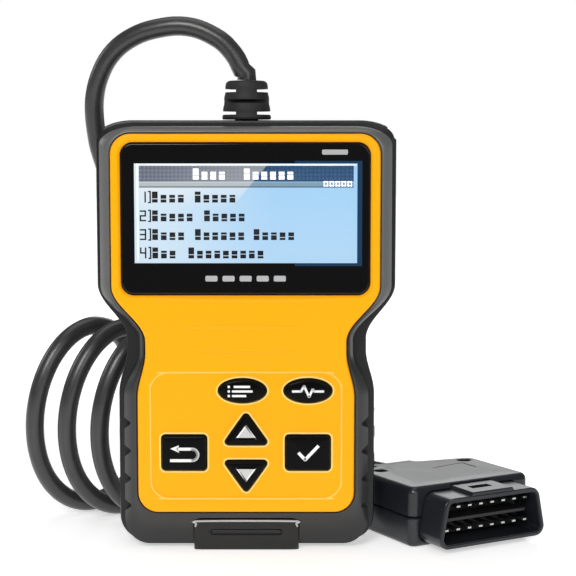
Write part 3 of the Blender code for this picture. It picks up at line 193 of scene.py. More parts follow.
def metalSkin(name, color, roughness, stretch):
    # drawn or plated metal, with fine lines one way
    finish = Finish(name, color, roughness, 1.0)
    lines = finish.noise(700.0, 4.0, stretch)
    finish.feed("Roughness", roughness - 0.08 + lines * 0.16)
    finish.feed("Base Color", finish.mix(lines, tinted(color, 0.85), tinted(color, 1.1)))
    finish.feed("Normal", finish.bump(lines, 0.00001))
    return finish.material


def boardSkin():
    # solder mask with its buried tracks
    green = (0.010, 0.110, 0.045)
    finish = Finish("boardGreen", green, 0.35)
    tracks = finish.node("ShaderNodeTexBrick", values={
        "Vector": finish.place(), "Scale": 260.0, "Mortar Size": 0.06, "Color1": (0, 0, 0, 1),
        "Color2": (0, 0, 0, 1), "Mortar": (1, 1, 1, 1)})
    finish.feed("Base Color", finish.mix(tracks, green, (0.030, 0.210, 0.090)))
    return finish.material


def cordSkin():
    # soft jacket: a satin sheath with faint lengthwise flow and a little dust
    color = (0.026, 0.026, 0.027)
    finish = Finish("cordJacket", color, 0.34, Coat_Weight=0.2, Coat_Roughness=0.2)
    flow = finish.noise(240.0, 4.0)
    finish.feed("Base Color", finish.mix(flow, tinted(color, 0.8), tinted(color, 1.25)))
    finish.feed("Roughness", 0.28 + flow * 0.12)
    finish.feed("Normal", finish.bump(finish.noise(1900.0, 2.0), 0.00003))
    return finish.material


def bezelPaintedShadeSkin():
    # grey head, with painted shade below it: nearly black at the waist, dark grey lower down and nearly black
    # at the foot
    head, low = (0.110, 0.113, 0.111), (0.030, 0.031, 0.031)
    finish = Finish("bezelPlasticPaintedShade", head, 0.30)
    _, _, z = finish.axes()
    patchy = finish.noise(60.0, 3.0)
    height = z + (patchy - 0.5) * 0.004
    # painted shade: dark grey below the head, with its edge made uneven by the patchy noise
    base = finish.mix(height.rise(0.058, 0.080), low, head)
    # painted shade: a near-black band across the waist
    base = finish.mix(height.within(0.056, 0.066, 0.008) * 0.85, base, (0.006, 0.006, 0.0065))
    # painted shade: near black at the very bottom
    base = finish.mix(1 - z.rise(0.003, 0.016), base, (0.007, 0.007, 0.0075))
    worn = finish.edges(0.0004, 0.02, 0.22) * 0.25
    finish.feed("Base Color", finish.mix(worn, base, (0.16, 0.163, 0.16)))
    finish.feed("Roughness", 0.27 + patchy * 0.10)
    finish.feed("Normal", finish.bump(finish.noise(2600.0, 2.0), 0.00001))
    return finish.material


yellowColor = (0.98, 0.415, 0.0)
skins = {
    "yellow_plastic": mouldedPlastic("yellowPlastic", yellowColor, 0.34, 0.000012, 0.0, 0.03,
                                     Specular_IOR_Level=0.18, Coat_Weight=0.05, Coat_Roughness=0.25),
    "bezel_plastic": bezelPaintedShadeSkin(),
    "dark_plastic": mouldedPlastic("darkPlastic", (0.0075, 0.0078, 0.0085), 0.34, 0.000008, 0.3,
                                   Specular_IOR_Level=0.35),
    "rubber": rubberSkin("rubber", (0.016, 0.016, 0.017), 0.62),
    "key_gloss": mouldedPlastic("keyGloss", (0.0022, 0.0022, 0.0026), 0.20, 0.000001,
                                Specular_IOR_Level=0.08),
    "white_plastic": mouldedPlastic("whitePlastic", (0.75, 0.75, 0.72), 0.5, 0.00002),
    "black_plastic": mouldedPlastic("blackPlastic", (0.012, 0.012, 0.013), 0.5, 0.00002),
    "bright_metal": metalSkin("brightMetal", (0.62, 0.62, 0.60), 0.30, (1.0, 1.0, 9.0)),
    "screw_metal": metalSkin("screwMetal", (0.33, 0.33, 0.34), 0.36, (1.0, 1.0, 1.0)),
    "board_green": boardSkin(),
    "flex_film": mouldedPlastic("flexFilm", (0.55, 0.28, 0.06), 0.4, 0.00001),
    "label_film": mouldedPlastic("labelFilm", (0.58, 0.59, 0.60), 0.42, 0.00001),
    # a black plastic whose slight blue tint stands in for the navy reflections on the plug: painted
    # reflection
    "plug_plastic": mouldedPlastic("plugPlastic", (0.013, 0.0145, 0.0185), 0.30, 0.000001),
    "cord_jacket": cordSkin(),
}
keyMark = mouldedPlastic("keyMark", (0.86, 0.87, 0.86), 0.45, 0.000004)
keyMarkGrey = mouldedPlastic("keyMarkGrey", (0.56, 0.57, 0.56), 0.45, 0.000004)
# silver grey: real print on the lens, and also the painted highlight line along the port cover's top
silverPrintAndHighlight = mouldedPlastic("silverPrintAndHighlight", (0.42, 0.42, 0.43), 0.35, 0.000004)
# a yellow a little lighter than the panel, for the bead round the keypad: painted highlight
beadHighlightYellow = mouldedPlastic("beadHighlightYellow", (1.0, 0.56, 0.075), 0.3, 0.000004)
# a paler yellow for the rims round the key holes: painted highlight
rimHighlightYellow = mouldedPlastic("rimHighlightYellow", (1.0, 0.70, 0.20), 0.35, 0.000006)
print("materials ready")


# mesh tools

def linked(name, mesh):
    obj = bpy.data.objects.new(name, mesh)
    bpy.context.scene.collection.objects.link(obj)
    return obj


def loft(name, rings, capped=True):
    # a skin through rings of equally many points
    bm = bmesh.new()
    rows = [[bm.verts.new(p) for p in ring] for ring in rings]
    for near, far in zip(rows, rows[1:]):
        for i in range(len(near)):
            j = (i + 1) % len(near)
            bm.faces.new((near[i], near[j], far[j], far[i]))
    if capped:
        bm.faces.new(rows[0])
        bm.faces.new(rows[-1])
    bmesh.ops.recalc_face_normals(bm, faces=bm.faces)
    mesh = bpy.data.meshes.new(name)
    bm.to_mesh(mesh)
    bm.free()
    return linked(name, mesh)


def carve(obj, tools, operation="DIFFERENCE"):
    # cuts or joins the tools one after the other, then removes them
    for tool in tools:
        step = obj.modifiers.new("carve", "BOOLEAN")
        step.operation = operation
        step.object = tool
    made = bpy.data.meshes.new_from_object(obj.evaluated_get(bpy.context.evaluated_depsgraph_get()))
    obj.modifiers.clear()
    obj.data = made
    for tool in tools:
        bpy.data.objects.remove(tool)
    return obj


def joined(name, objects):
    # one object from several, each already in place
    bm = bmesh.new()
    for obj in objects:
        obj.data.transform(obj.matrix_world)
        bm.from_mesh(obj.data)
        bpy.data.objects.remove(obj)
    mesh = bpy.data.meshes.new(name)
    bm.to_mesh(mesh)
    bm.free()
    return linked(name, mesh)


def finished(obj, body, slot, nodes=(), material=None, angle=30.0):
    # material, shading, the body that it rides on and the CAD nodes that it stands for
    if obj.type == "MESH":
        obj.data.shade_smooth()
        obj.data.set_sharp_from_angle(angle=math.radians(angle))
        even = obj.modifiers.new("even shading", "WEIGHTED_NORMAL")
        even.keep_sharp = True
    obj.data.materials.clear()
    obj.data.materials.append(material or skins[slot])
    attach(obj, body)
    if nodes:
        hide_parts(*nodes)
    return obj


def arc(centre, radii, start, end, steps):
    points = []
    for i in range(steps + 1):
        a = math.radians(start + (end - start) * i / steps)
        points.append((centre[0] + radii[0] * math.cos(a), centre[1] + radii[1] * math.sin(a)))
    return points


def easeRun(start, end, steps):
    # an S curve that leaves start and reaches end straight up
    points = []
    for i in range(steps + 1):
        share = i / steps
        blend = (1 - math.cos(math.pi * share)) / 2
        points.append((start[0] + (end[0] - start[0]) * blend, start[1] + (end[1] - start[1]) * share))
    return points


def mirrored(right):
    return right + [(-x, z) for x, z in reversed(right)]


def rounded(corners, radius, grow=0.0, steps=8):
    # a convex outline, anticlockwise, with round corners
    points = []
    count = len(corners)
    for i in range(count):
        before, here, after = (Vector(corners[(i + k) % count]) for k in (-1, 0, 1))
        back, on = (before - here).normalized(), (after - here).normalized()
        centre = here + (back + on).normalized() * (radius / math.sin(back.angle(on) / 2))
        first = math.atan2(back.x, -back.y)
        turn = (math.atan2(-on.x, on.y) - first) % (2 * math.pi)
        for k in range(steps + 1):
            a = first + turn * k / steps
            points.append(tuple(centre + Vector((math.cos(a), math.sin(a))) * (radius + grow)))
    return points


def rectangle(low, high, radius, grow=0.0, steps=8):
    return rounded([(low[0], low[1]), (high[0], low[1]), (high[0], high[1]), (low[0], high[1])],
                   radius, grow, steps)


def oval(centre, size, grow=0.0, steps=64):
    return arc(centre, (size[0] / 2 + grow, size[1] / 2 + grow), 0, 360, steps)[:-1]


def circle(centre, radius, steps=32):
    return arc(centre, (radius, radius), 0, 360, steps)[:-1]


def atDepth(outline, y):
    return [(x, y, z) for x, z in outline]


def atHeight(outline, z):
    return [(x, y, z) for x, y in outline]


def slab(name, outline, front, back):
    return loft(name, [atDepth(outline, front), atDepth(outline, back)])


def quarter(steps):
    # how far in, and how far along, each ring of a round edge lies, as shares of its radius
    angles = [math.radians(90 * i / steps) for i in range(steps + 1)]
    return [(1 - math.cos(a), 1 - math.sin(a)) for a in angles]


def roundedSlab(name, shape, front, back, edge, steps=4):
    # a plate whose front edge is round; shape gives the outline grown by a size
    rings = [atDepth(shape(0.0), back)]
    for inward, along in quarter(steps):
        rings.append(atDepth(shape(-edge * inward), front + edge * along))
    return loft(name, rings)


def turned(name, profile, place, steps=48, toBack=False):
    # a turned piece from (radius, height) pairs, top to bottom; toBack lays its top towards +Y
    rings = []
    for radius, height in profile:
        ring = []
        for i in range(steps):
            a = 2 * math.pi * i / steps
            if toBack:
                spot = (radius * math.cos(a), height, radius * math.sin(a))
            else:
                spot = (radius * math.cos(a), radius * math.sin(a), height)
            ring.append(Vector(place) + Vector(spot))
        rings.append(ring)
    return loft(name, rings)


# where the frame says things are

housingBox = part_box("back_housing")
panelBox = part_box("front_panel")
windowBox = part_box("display_window")
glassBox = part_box("lcd_glass")
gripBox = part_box("grip_right")
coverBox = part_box("port_cover")
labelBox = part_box("back_label")
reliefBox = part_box("strain_relief")

bodyShape = {
    "halfTop": housingBox[1].x, "halfWaist": 0.0344, "halfLow": 0.0368,
    "top": housingBox[1].z, "bottom": housingBox[0].z,
    "hip": 0.0440, "waistLow": 0.0570, "waistHigh": 0.0600, "shoulder": 0.0757,
    "topCorner": (0.0107, 0.0053), "lowCorner": (0.0071, 0.0074),
}
bezelInset = {"halfTop": 0.0015, "halfWaist": 0.0040, "halfLow": 0.0020, "top": 0.0018, "bottom": 0.0002}
panelInset = {"halfTop": 0.0049, "halfWaist": 0.0060, "halfLow": 0.0061, "top": 0.0039, "bottom": 0.0101}
panelCorner = (0.0057, 0.0057)


def waisted(inset, more=None, corner=None):
    # the reader's outline: a wide head, a waist and a narrower handle
    shape = dict(bodyShape)
    for key, value in (more or {}).items():
        shape[key] += value if key == "bottom" else -value
    least = 0.0008
    topX, topZ = (max(r - inset, least) for r in (corner or shape["topCorner"]))
    lowX, lowZ = (max(r - inset, least) for r in (corner or shape["lowCorner"]))
    head, waist, low = (shape[key] - inset for key in ("halfTop", "halfWaist", "halfLow"))
    high, floor = shape["top"] - inset, shape["bottom"] + inset
    right = arc((low - lowX, floor + lowZ), (lowX, lowZ), -90, 0, 12)
    right += easeRun((low, shape["hip"]), (waist, shape["waistLow"]), 16)
    right += easeRun((waist, shape["waistHigh"]), (head, shape["shoulder"]), 18)
    right += arc((head - topX, high - topZ), (topX, topZ), 0, 90, 14)
    return mirrored(right)


def bodyOutline(inset=0.0):
    return waisted(inset)


def bezelOutline(inset=0.0):
    return waisted(inset, bezelInset)


def panelOutline(inset=0.0):
    return waisted(inset, panelInset, panelCorner)


def between(first, second, share):
    return [(a[0] + (b[0] - a[0]) * share, a[1] + (b[1] - a[1]) * share) for a, b in zip(first, second)]


# camera, floor and lights

view = {"lens": 93.9, "place": (0.0119, -0.43095, 0.1150), "pitch": 84.60}
camera = bpy.data.objects.new("camera", bpy.data.cameras.new("camera"))
bpy.context.scene.collection.objects.link(camera)
camera.data.sensor_width = 36.0
camera.data.lens = view["lens"]
camera.data.clip_start = 0.01
camera.location = view["place"]
camera.rotation_euler = (math.radians(view["pitch"]), 0.0, 0.0)
bpy.context.scene.camera = camera
bpy.context.scene.view_settings.view_transform = "Standard"

stage = {"fade": (0.12, 0.45), "lift": 0.50, "front": -0.40, "back": 3.0, "side": 3.0,
         "color": (0.93, 0.93, 0.935)}


def layFloor():
    mesh = bpy.data.meshes.new("floor")
    mesh.from_pydata([(-stage["side"], stage["front"], 0), (stage["side"], stage["front"], 0),
                      (stage["side"], stage["back"], 0), (-stage["side"], stage["back"], 0)],
                     [], [(0, 1, 2, 3)])
    floor = linked("floor", mesh)
    finish = Finish("floorPaper", stage["color"], 0.35, Specular_IOR_Level=0.5)
    finish.feed("Roughness", 0.30 + finish.noise(30.0, 2.0) * 0.06)
    # the far floor runs out into the white behind it
    far = finish.axes()[1].rise(stage["fade"][0], stage["fade"][1])
    finish.feed("Emission Color", finish.mix(far, (stage["lift"],) * 3, (1.0, 1.0, 1.0)))
    finish.feed("Emission Strength", 1.0)
    mesh.materials.append(finish.material)


lights = {
    "keyLight": {"at": (-0.32, -1.05, 0.75), "size": 0.50, "power": 9.0, "color": (1.0, 0.985, 0.96)},
    "fillLight": {"at": (0.42, -1.05, 0.40), "size": 0.50, "power": 2.4, "color": (0.96, 0.98, 1.0)},
    "topLight": {"at": (0.0, 0.10, 0.95), "size": 0.80, "power": 2.2, "color": (1.0, 1.0, 1.0)},
    "leftStrip": {"at": (-0.70, 0.25, 0.40), "size": 0.30, "power": 0.7, "color": (1.0, 1.0, 1.0)},
    "backLight": {"at": (0.15, 1.25, 0.55), "size": 0.60, "power": 2.4, "color": (1.0, 1.0, 1.0)},
}


def hangLights():
    for name, facts in lights.items():
        lamp = bpy.data.lights.new(name, "AREA")
        lamp.size = facts["size"]
        lamp.energy = facts["power"]
        lamp.color = facts["color"]
        obj = bpy.data.objects.new(name, lamp)
        bpy.context.scene.collection.objects.link(obj)
        obj.location = facts["at"]
        aim = Vector((0.0, 0.0, 0.06)) - obj.location
        obj.rotation_euler = aim.to_track_quat("-Z", "Y").to_euler()


def paintWorld():
    # white where it is seen, and dimmer as light, so that dark gloss stays dark
    world = bpy.data.worlds.new("studio")
    bpy.context.scene.world = world
    world.use_nodes = True
    tree = world.node_tree
    tree.nodes.clear()
    rays = tree.nodes.new("ShaderNodeLightPath")
    seen = tree.nodes.new("ShaderNodeBackground")
    seen.inputs[0].default_value = (1.0, 1.0, 1.0, 1.0)
    dim = tree.nodes.new("ShaderNodeBackground")
    dim.inputs[0].default_value = (0.96, 0.98, 1.0, 1.0)
    dim.inputs[1].default_value = 0.17
    either = tree.nodes.new("ShaderNodeMixShader")
    out = tree.nodes.new("ShaderNodeOutputWorld")
    tree.links.new(rays.outputs["Is Camera Ray"], either.inputs[0])
    tree.links.new(dim.outputs[0], either.inputs[1])
    tree.links.new(seen.outputs[0], either.inputs[2])
    tree.links.new(either.outputs[0], out.inputs[0])


layFloor()
hangLights()
paintWorld()
print("stage ready")


# lead

cordFacts = {
    "diameter": 0.0056, "straight": 0.0020,
    "coilAcross": 0.0215, "coilRise": 0.0288, "coilTurns": 3, "coilYaw": 42.0, "coilLean": 10.0,
    "coilStart": (-0.0232, 0.0120, 0.0312),  # Y is measured from the housing's back
    "coilStep": (-0.0104, 0.0044, 0.0), "coilEntry": 0.0200,
}
archRoute = [
    (-0.0013, 0.0044, 0.1367), (-0.0026, 0.0047, 0.1396), (-0.0046, 0.0050, 0.1424),
    (-0.0076, 0.0053, 0.1453), (-0.0134, 0.0060, 0.1483), (-0.0192, 0.0068, 0.1494),
    (-0.0250, 0.0078, 0.1489), (-0.0309, 0.0090, 0.1474), (-0.0366, 0.0104, 0.1443),
    (-0.0408, 0.0118, 0.1400), (-0.0435, 0.0132, 0.1348), (-0.0449, 0.0145, 0.1299),
    (-0.0453, 0.0156, 0.1250), (-0.0449, 0.0168, 0.1190), (-0.0437, 0.0178, 0.1126),
    (-0.0392, 0.0196, 0.1000), (-0.0318, 0.0218, 0.0880), (-0.0225, 0.0250, 0.0780),
    (-0.0130, 0.0293, 0.0690), (-0.0070, 0.0333, 0.0600),
]
leadRoute = [  # Y is measured from the housing's back
    (-0.0398, 0.0412, 0.0237), (-0.0400, 0.0440, 0.0163), (-0.0376, 0.0476, 0.0096),
    (-0.0320, 0.0512, 0.0050), (-0.0235, 0.0543, 0.0032), (-0.0130, 0.0564, 0.0029),
    (-0.0010, 0.0574, 0.0029), (0.0110, 0.0570, 0.0029), (0.0205, 0.0545, 0.0034),
    (0.0285, 0.0503, 0.0052),
]
plugShape = {
    "half": 0.02125, "length": 0.0440, "height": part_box("plug_body_upper")[1].z, "split": 0.0086,
    "neck": 0.0085, "shoulder": 0.0270, "neckLength": 0.0030, "corner": 0.0025,
    "rearDrop": 0.0025, "slopeStart": 0.0230, "edge": 0.0020, "wall": 0.0020, "ceiling": 0.0132,
    "screwX": 0.0155, "screwY": 0.0250, "boot": 0.0177, "boss": 0.0034, "bore": 0.0021, "shaft": 0.0012,
    "seat": 0.0020, "stub": 0.0030, "grooveDeep": 0.0005,
    "chamfer": 0.0004, "footShare": 0.7, "crown": (0.0045, 0.0065),
    "grooves": ([(-0.0114, 0.0212), (0.0126, 0.0212), (0.0126, 0.0218), (-0.0114, 0.0218)],
                [(0.0120, 0.0145), (0.0126, 0.0145), (0.0126, 0.0215), (0.0120, 0.0215)]),
}
screwSpots = [(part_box(f"plug_screw_{i}")[0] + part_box(f"plug_screw_{i}")[1]) / 2 for i in (1, 2)]
plugAcross = screwSpots[1] - screwSpots[0]
plugAcross.z = 0.0
plugAcross.normalize()
plugBack = Vector((-plugAcross.y, plugAcross.x, 0.0))
plugOrigin = (screwSpots[0] + screwSpots[1]) / 2 - plugBack * plugShape["screwY"]
plugOrigin.z = 0.0
behind = Vector((0.0, housingBox[1].y, 0.0))


def coilAxes():
    yaw, lean = math.radians(cordFacts["coilYaw"]), math.radians(cordFacts["coilLean"])
    across = Vector((math.cos(yaw), math.sin(yaw), 0.0))
    up = Vector((math.sin(yaw) * math.sin(lean), -math.cos(yaw) * math.sin(lean), math.cos(lean)))
    return across, up


def coilPoint(turn):
    # the lead's middle, this many turns into the coil, which starts down its right side
    across, up = coilAxes()
    a = -2 * math.pi * turn
    spoke = across * (cordFacts["coilAcross"] * math.cos(a)) + up * (cordFacts["coilRise"] * math.sin(a))
    return behind + Vector(cordFacts["coilStart"]) + Vector(cordFacts["coilStep"]) * turn + spoke


def smoothPath(points, spacing):
    # points read evenly from a smooth curve through the given ones
    fine = []
    count = len(points)
    for i in range(count - 1):
        a, b, c, d = (points[max(0, min(count - 1, i + k))] for k in (-1, 0, 1, 2))
        for k in range(16):
            t = k / 16
            fine.append(0.5 * (2 * b + (c - a) * t + (2 * a - 5 * b + 4 * c - d) * t ** 2
                               + (3 * b - a - 3 * c + d) * t ** 3))
    fine.append(points[-1])
    lengths = [0.0]
    for one, two in zip(fine, fine[1:]):
        lengths.append(lengths[-1] + (two - one).length)
    steps = max(2, round(lengths[-1] / spacing))
    spots, k = [], 0
    for i in range(steps + 1):
        want = lengths[-1] * i / steps
        while k < len(fine) - 2 and lengths[k + 1] < want:
            k += 1
        share = (want - lengths[k]) / (lengths[k + 1] - lengths[k])
        spots.append(fine[k].lerp(fine[k + 1], share))
    return spots


def layLead():
    half = cordFacts["diameter"] / 2
    reliefMiddle = (reliefBox[0] + reliefBox[1]) / 2
    leaves = Vector((0.0, reliefMiddle.y, reliefBox[1].z + touchGap))
    bootEnd = plugOrigin + plugBack * (plugShape["length"] + plugShape["boot"] + touchGap)
    bootEnd.z = plugShape["height"] / 2
    stub = cordFacts["straight"]
    turns, perTurn = cordFacts["coilTurns"], 24
    route = [leaves, leaves + Vector((0, 0, stub))] + [Vector(p) for p in archRoute]
    route.append(coilPoint(0.0) + coilAxes()[1] * cordFacts["coilEntry"])
    route += [coilPoint(i / perTurn) for i in range(turns * perTurn + 1)]
    route += [behind + Vector(p) for p in leadRoute] + [bootEnd + plugBack * stub, bootEnd]
    path = smoothPath(route, 0.0018)
    length = sum((b - a).length for a, b in zip(path, path[1:]))
    curve = bpy.data.curves.new("lead", "CURVE")
    curve.dimensions = "3D"
    curve.bevel_depth = half
    curve.bevel_resolution = 6
    curve.use_fill_caps = True
    spline = curve.splines.new("POLY")
    spline.points.add(len(path) - 1)
    for spot, place in zip(spline.points, path):
        spot.co = (*place, 1.0)
    spline.use_smooth = True
    lead = linked("lead", curve)
    finished(lead, "reader", "cord_jacket", ["cord_arch", "cord_coil", "cord_lead"])
    print("lead is", round(length, 3), "m long")
    return lead, leaves, round(length, 3)


lead, leadExit, leadLength = layLead()


def stroke(name, points, radius, cyclic=False):
    # a thin round bead along a smoothed line
    path = smoothPath(points, radius * 1.5)
    curve = bpy.data.curves.new(name, "CURVE")
    curve.dimensions = "3D"
    curve.bevel_depth = radius
    curve.bevel_resolution = 3
    curve.use_fill_caps = True
    spline = curve.splines.new("POLY")
    spline.points.add(len(path) - 1)
    spline.use_cyclic_u = cyclic
    for spot, place in zip(spline.points, path):
        spot.co = (*place, 1.0)
    return linked(name, curve)


# shells of the reader

boltSpots = [(side * x, z) for x, z in ((0.0330, 0.0758), (0.0240, 0.0105)) for side in (-1, 1)]
backShell = {
    "edge": 0.0060, "wall": 0.0020, "split": -0.00295, "sink": 0.0008, "lip": 0.0060, "lipThick": 0.0020,
    "boss": 0.0042, "bore": 0.0029, "shaft": 0.00155, "ear": 0.0401, "earDrop": 0.0011,
    "rib": (0.0190, 0.0011, 0.0005), "ribs": 7, "ribLow": 0.0180, "ribPitch": 0.0048,
}


def leaf(name, centre, size, depth, face, steps=24):
    # a long low swelling that dies away at both ends; face is the side it lies on
    rings = []
    for i in range(1, steps):
        share = 2 * i / steps - 1
        swell = (1 - share * share) ** 0.6
        x = centre[0] + share * size[0]
        ring = []
        for k in range(16):
            a = 2 * math.pi * k / 16
            ring.append((x, face + depth * swell * math.cos(a), centre[1] + size[1] * swell * math.sin(a)))
        rings.append(ring)
    return loft(name, rings)


def makeBackShell():
    f = backShell
    back = housingBox[1].y
    hollow = f["edge"] / 4
    rings = [
        atDepth(bodyOutline(f["wall"] + hollow), back - f["wall"]),
        atDepth(bodyOutline(f["wall"]), back - f["wall"] - hollow),
        atDepth(bodyOutline(f["wall"]), f["split"] + f["lipThick"]),
        atDepth(bodyOutline(f["lip"]), f["split"] + f["lipThick"]),
        atDepth(bodyOutline(f["lip"]), f["split"]),
        atDepth(bodyOutline(f["sink"]), f["split"]),
        atDepth(bodyOutline(f["sink"] * 0.3), f["split"] + f["sink"] * 0.3),
        atDepth(bodyOutline(), f["split"] + f["sink"]),
    ]
    for inward, along in quarter(9):
        rings.append(atDepth(bodyOutline(f["edge"] * inward), back - f["edge"] * along))
    shell = loft("backShell", rings)
    seat = (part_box("housing_screw_1")[0].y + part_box("housing_screw_1")[1].y) / 2
    meet = f["split"] + f["lipThick"] + 0.0039
    carve(shell, [turned(f"boss{i}", [(f["boss"], back - f["wall"] / 2), (f["boss"], meet)],
                         (x, 0.0, z), 24, True)
                  for i, (x, z) in enumerate(boltSpots)], "UNION")
    cuts = []
    for i, (x, z) in enumerate(boltSpots):
        cuts.append(turned(f"bore{i}", [
            (f["bore"] + 0.0006, back + passBy), (f["bore"] + 0.0006, back), (f["bore"], back - 0.0006),
            (f["bore"], seat), (f["shaft"], seat), (f["shaft"], meet - passBy)], (x, 0.0, z), 32, True))
    middle = (reliefBox[0].y + reliefBox[1].y) / 2
    cuts.append(turned("reliefHole", [(0.0037, bodyShape["top"] + passBy),
                                      (0.0037, bodyShape["top"] - f["wall"] - passBy)],
                       (0.0, middle, 0.0), 32))
    pocket = 0.0013 + touchGap
    for side in (-1, 1):
        low, high = sorted((side * (bodyShape["halfLow"] - pocket), side * (bodyShape["halfLow"] + passBy)))
        shape = rectangle((low, gripBox[0].z - touchGap), (high, gripBox[1].z + touchGap), 0.0002, 0.0, 2)
        cuts.append(slab(f"gripPocket{side}", shape, gripBox[0].y - touchGap, gripBox[1].y + touchGap))
        ear = [(side * f["ear"], bodyShape["top"] + passBy), (side * (bodyShape["halfTop"] + passBy),
               bodyShape["top"] + passBy), (side * (bodyShape["halfTop"] + passBy), 0.1157),
               (side * f["ear"], bodyShape["top"] - 0.0019 - f["earDrop"])]
        cuts.append(slab(f"ear{side}", ear, f["split"] - passBy, back - f["edge"]))
    label = rectangle((labelBox[0].x, labelBox[0].z), (labelBox[1].x, labelBox[1].z), 0.002, touchGap)
    cuts.append(slab("labelCut", label, labelBox[0].y - touchGap, back + passBy))
    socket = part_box("usb_socket")
    port = rectangle((socket[0].x, socket[0].y), (socket[1].x, socket[1].y), 0.0006, touchGap, 3)
    cuts.append(loft("portCut", [atHeight(port, h) for h in (bodyShape["bottom"] - passBy,
                                                            bodyShape["bottom"] + f["wall"] + passBy)]))
    half, high, deep = f["rib"]
    for i in range(f["ribs"]):
        cuts.append(leaf(f"rib{i}", (0.0, f["ribLow"] + i * f["ribPitch"]), (half, high), deep, back))
    carve(shell, cuts)
    finished(shell, "reader", "dark_plastic", ["back_housing"])


frontShell = {
    "front": -0.01015, "drop": 0.0030, "seat": -0.00875, "inside": -0.00675, "wall": 0.0030,
    "notch": 0.0024, "notchHalf": 0.0021, "notches": (0.0126, 0.0204, 0.0284, 0.0364),
    "screen": (0.0320, 0.0814, 0.1108), "keypad": (0.0255, 0.0153, 0.0511),
}


def makeFrontShell():
    f = frontShell
    split = backShell["split"] - touchGap
    inner, outer = panelOutline(-touchGap), bezelOutline()
    rings = [atDepth(inner, f["seat"]), atDepth(panelOutline(-touchGap), f["front"] + 0.0002),
             atDepth(panelOutline(-touchGap - 0.0002), f["front"])]
    inner = panelOutline(-touchGap - 0.0002)
    for i in range(1, 15):
        share = i / 14
        fall = f["drop"] * (1 - math.cos(math.radians(84 * share)))
        rings.append(atDepth(between(inner, outer, share), f["front"] + fall))
    rings += [atDepth(bezelOutline(), split - 0.0004), atDepth(bezelOutline(0.0004), split),
              atDepth(bezelOutline(f["wall"]), split), atDepth(bezelOutline(f["wall"]), f["inside"])]
    shell = loft("frontShell", rings)
    deep = f["seat"] - passBy, f["inside"] + passBy
    x, low, high = f["screen"]
    cuts = [slab("screenCut", rectangle((-x, low), (x, high), 0.001), *deep)]
    x, low, high = f["keypad"]
    cuts.append(slab("keypadCut", rectangle((-x, low), (x, high), 0.003), *deep))
    edge = bodyShape["halfLow"] - bezelInset["halfLow"]
    for side in (-1, 1):
        for i, z in enumerate(f["notches"]):
            half = f["notchHalf"] * side
            reach = side * (edge + passBy)
            corners = [(side * (edge - f["notch"]), z - half * 0.1), (reach, z - half),
                       (reach, z + half * 1.25)]
            cuts.append(slab(f"notch{side}{i}", rounded(corners, 0.0006), f["front"] - passBy,
                             split + passBy))
    cover = rectangle((coverBox[0].x, -passBy), (coverBox[1].x, coverBox[1].z), 0.0022, touchGap)
    cuts.append(slab("coverSeat", cover, f["front"] - passBy, f["front"] + 0.0020))
    carve(shell, cuts)
    finished(shell, "reader", "bezel_plastic", ["front_bezel"])


panelFacts = {
    "edge": 0.0007, "sink": 0.0003, "pad": (0.0268, 0.0153, 0.0511), "padCorner": 0.0050,
    "slope": 0.0009, "bead": 0.00030, "beadSink": 0.00016,
    "lensGap": 0.0003, "lensChamfer": 0.0006, "rim": 0.00055, "rimHigh": 0.00016,
    "ridges": ((0.0719, 0.0276, 0.0011, 0.00034), (0.0640, 0.0186, 0.0008, 0.00026)),
    "groove": (0.0574, 0.0155, 0.0008, 0.00024),
}
keyFacts = {
    "oval": (0.0134, 0.0066), "block": (0.0125, 0.0099), "blockCorner": 0.0009, "arrowHalf": 0.0065,
    "arrowHigh": 0.0092, "arrowGap": 0.0047, "arrowCorner": 0.0008, "row": 0.02835, "ovalRow": 0.0461,
    "column": 0.01755, "ovalX": -0.0010, "edge": 0.0007, "dome": 0.00012, "flange": 0.0008,
}


def arrowCorners(direction):
    base = keyFacts["row"] + direction * keyFacts["arrowGap"] / 2
    half = keyFacts["arrowHalf"] * direction
    return [(-half, base), (half, base), (0.0, base + direction * keyFacts["arrowHigh"])]


def keyShapes():
    # each key's body, its outline as a function of how far it is grown, and its middle
    f = keyFacts

    def ovalKey(x):
        return lambda grow: oval((x, f["ovalRow"]), f["oval"], grow)

    def blockKey(x):
        low = (x - f["block"][0] / 2, f["row"] - f["block"][1] / 2)
        high = (x + f["block"][0] / 2, f["row"] + f["block"][1] / 2)
        return lambda grow: rectangle(low, high, f["blockCorner"], grow)

    def arrowKey(direction):
        return lambda grow: rounded(arrowCorners(direction), f["arrowCorner"], grow, 10)

    lift = f["arrowGap"] / 2 + f["arrowHigh"] * 0.36
    return {
        "key_oval_left": (ovalKey(f["ovalX"]), (f["ovalX"], f["ovalRow"])),
        "key_oval_right": (ovalKey(f["column"]), (f["column"], f["ovalRow"])),
        "key_up": (arrowKey(1), (0.0, f["row"] + lift)),
        "key_down": (arrowKey(-1), (0.0, f["row"] - lift)),
        "key_back": (blockKey(-f["column"]), (-f["column"], f["row"])),
        "key_enter": (blockKey(f["column"]), (f["column"], f["row"])),
    }


def lensOutline(grow=0.0):
    return rectangle((windowBox[0].x, windowBox[0].z), (windowBox[1].x, windowBox[1].z), 0.0034, grow, 12)


